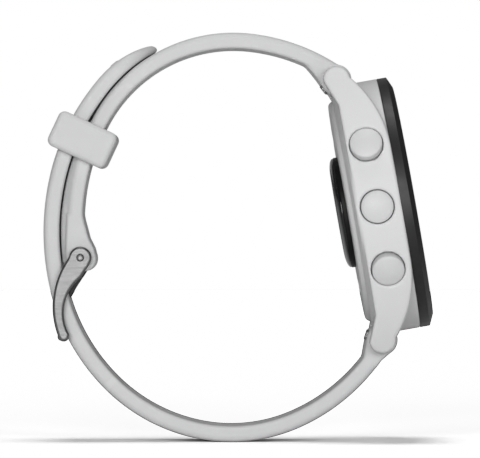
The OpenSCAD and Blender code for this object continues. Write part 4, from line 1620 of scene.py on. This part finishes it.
@dataclass
class ReleasePin:
    """Sliding end of a spring bar, with the knob that draws it back.

    Attributes:
        name: upper or lower.
        up: 1 at 12 o'clock, -1 at 6 o'clock.
        at: knob's distance from the middle.
        slant: direction of the knob, past straight back.
    """

    name: str
    up: int
    at: float = 5.2
    slant: float = 28.0

    def shape(self) -> Shape:
        """The pin and its ribbed knob.

        Returns:
            The mesh in the frame of the spring bar.
        """
        grid = Mould((-3, -1, 3.9), (1, 1, 11.1), (0.06, 0.06, 0.06))
        x, y, z = grid.axes()
        r = span(x, y)
        d = meet(meet(r - 0.45, 4.0 - z, 0.05), z - 8.3, 0.05)
        d = join(d, meet(meet(r - 0.4, z - 11.05, 0.12), 5.2 - z, 0.05), 0.03)
        off = span(y, z - self.at)
        d = join(d, meet(meet(off - 0.3, -2.6 - x, 0.05), x, 0.05), 0.05)
        ribs = 0.03 * np.cos(14 * np.arctan2(y, z - self.at))
        return grid.skin(join(d, meet(meet(off - 0.87 - ribs, -2.9 - x, 0.18), x + 1.9, 0.08), 0.05))

    def build(self) -> None:
        """Makes the pin."""
        seat = SIDE @ moved(BAR_AT[0], self.up * BAR_AT[1]) @ turned(self.up * self.slant, "Z")
        piece = solid(f"release_knob_{self.name}", self.shape(), seat)
        dressed(piece, Finishes.STEEL, f"{self.name}_release", f"{self.name}_release_pin")


# ---------------- works


class Works:
    """Finishes of the CAD nodes that stay as they are: the inner parts, seals, springs and bars."""

    KEPT: dict[Finishes, str] = {
        Finishes.GASKET: "lens_gasket", Finishes.DISPLAY: "display_panel", Finishes.ANTENNA: "antenna_ring",
        Finishes.FLEX: "display_flex left_switches right_switches", Finishes.FRAME: "inner_frame",
        Finishes.BOARD: "main_board sensor_board", Finishes.TIN: "shield_can", Finishes.CELL: "battery",
        Finishes.BUZZER: "buzzer", Finishes.MOTOR: "vibration_motor motor_weight", Finishes.LED: "sensor_leds",
        Finishes.BUSH: "button_bushes", Finishes.STEEL: "upper_spring_bar lower_spring_bar",
        Finishes.RUBBER: "rear_cover_seal", Finishes.SPRING: "upper_release_spring lower_release_spring",
    }
    BY_BUTTON: dict[str, Finishes] = {"seal": Finishes.RUBBER, "clip": Finishes.SPRING, "spring": Finishes.SPRING}

    def build(self) -> None:
        """Gives each kept node its finish."""
        rows = [(finish.value, node) for finish, nodes in self.KEPT.items() for node in nodes.split()]
        rows += [(finish.value, f"{part}_{place}") for place in BUTTONS for part, finish in self.BY_BUTTON.items()]
        for finish, node in rows:
            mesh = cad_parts[node].data
            mesh.materials.clear()
            mesh.materials.append(finish.material())
            LOG.info("%s: %s", node, finish.name)


# ---------------- studio


@dataclass
class Studio:
    """Camera, floor and soft lights.

    Attributes:
        eye: the camera's place, in metres; it looks along +Y.
        lens: focal length, in millimetres.
        lamps: (place, width, height, watts) of each soft light, which faces the middle.
        room_light: brightness of the room as a light.
    """

    eye: Triple = (0.005, -1.25, 0.0012)
    lens: float = 548.4
    lamps: tuple[tuple[Triple, float, float, float], ...] = (
        ((-0.22, -1.1, 0.17), 0.5, 0.36, 7.0),
        ((0.38, -1.05, 0.15), 0.5, 0.34, 4.2),
        ((0.0, 0.0, 0.9), 0.35, 0.35, 3.2),
        ((-0.2, 1.0, 0.35), 0.7, 0.7, 0.4),
    )
    room_light: float = 0.1

    def camera(self) -> None:
        """Makes the camera."""
        data = bpy.data.cameras.new("camera")
        data.lens, data.sensor_width = self.lens, 36.0
        data.clip_start, data.clip_end = 0.1, 10.0
        made = linked("camera", data)
        made.location = self.eye
        made.rotation_euler = (math.pi / 2, 0, 0)
        bpy.context.scene.camera = made

    def floor(self) -> None:
        """Makes the pale floor under the band."""
        half, low = 3, CAD_BOX[0][2] - 2e-5
        mesh = bpy.data.meshes.new("floor")
        corners = [(x, y, low) for x, y in ((-half, -half), (half, -half), (half, half), (-half, half))]
        mesh.from_pydata(corners, [], [(0, 1, 2, 3)])
        made = linked("floor", mesh)
        pale = Graph("floor_paper")
        pale.feed(pale.shader, {"Base Color": (0.85, 0.85, 0.85, 1), "Roughness": 0.9})
        mesh.materials.append(pale.material)
        made.is_shadow_catcher = True
        made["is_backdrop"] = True

    def lights(self) -> None:
        """Makes the soft lights."""
        for i, (place, width, height, power) in enumerate(self.lamps):
            data = bpy.data.lights.new(f"soft_light_{i}", "AREA")
            data.shape, data.size, data.size_y, data.energy = "RECTANGLE", width, height, power
            made = linked(f"soft_light_{i}", data)
            made.location = place
            made.rotation_euler = (-Vector(place)).to_track_quat("-Z", "Y").to_euler()

    def room(self) -> None:
        """Makes the room: white to the camera, dim as a light."""
        world = bpy.data.worlds.new("white_room")
        world.use_nodes = True
        tree = Tree(world.node_tree)
        seen, out = tree.tree.nodes["Background"], tree.tree.nodes["World Output"]
        tree.feed(seen, {"Strength": 1.0, "Color": (1, 1, 1, 1)})
        lit = tree.add("ShaderNodeBackground", {"Strength": self.room_light})
        by_camera = tree.add("ShaderNodeLightPath").outputs["Is Camera Ray"]
        mix = tree.add("ShaderNodeMixShader", {0: by_camera, 1: lit.outputs[0], 2: seen.outputs[0]})
        tree.feed(out, {"Surface": mix.outputs[0]})
        bpy.context.scene.world = world
        bpy.context.scene.view_settings.view_transform = "Standard"

    def build(self) -> None:
        """Sets the studio up."""
        self.camera()
        self.floor()
        self.lights()
        self.room()
        LOG.info("studio: %d lights", len(self.lamps))


def main() -> None:
    """Builds the watch around the frame."""
    logging.basicConfig(level=logging.INFO, format="%(name)s %(message)s")
    Studio().build()
    shell = CaseShell()
    shell.build()
    Front().build()
    Rear().build()
    for place, angle in BUTTONS.items():
        PushButton(place, angle, shell.side_at(angle)).build()
    pins = (ReleasePin("upper", 1), ReleasePin("lower", -1))
    for part in (UpperBand(), LowerBand(), Keeper(), Buckle(), *pins, Works()):
        part.build()


if __name__ == "__main__":
    main()
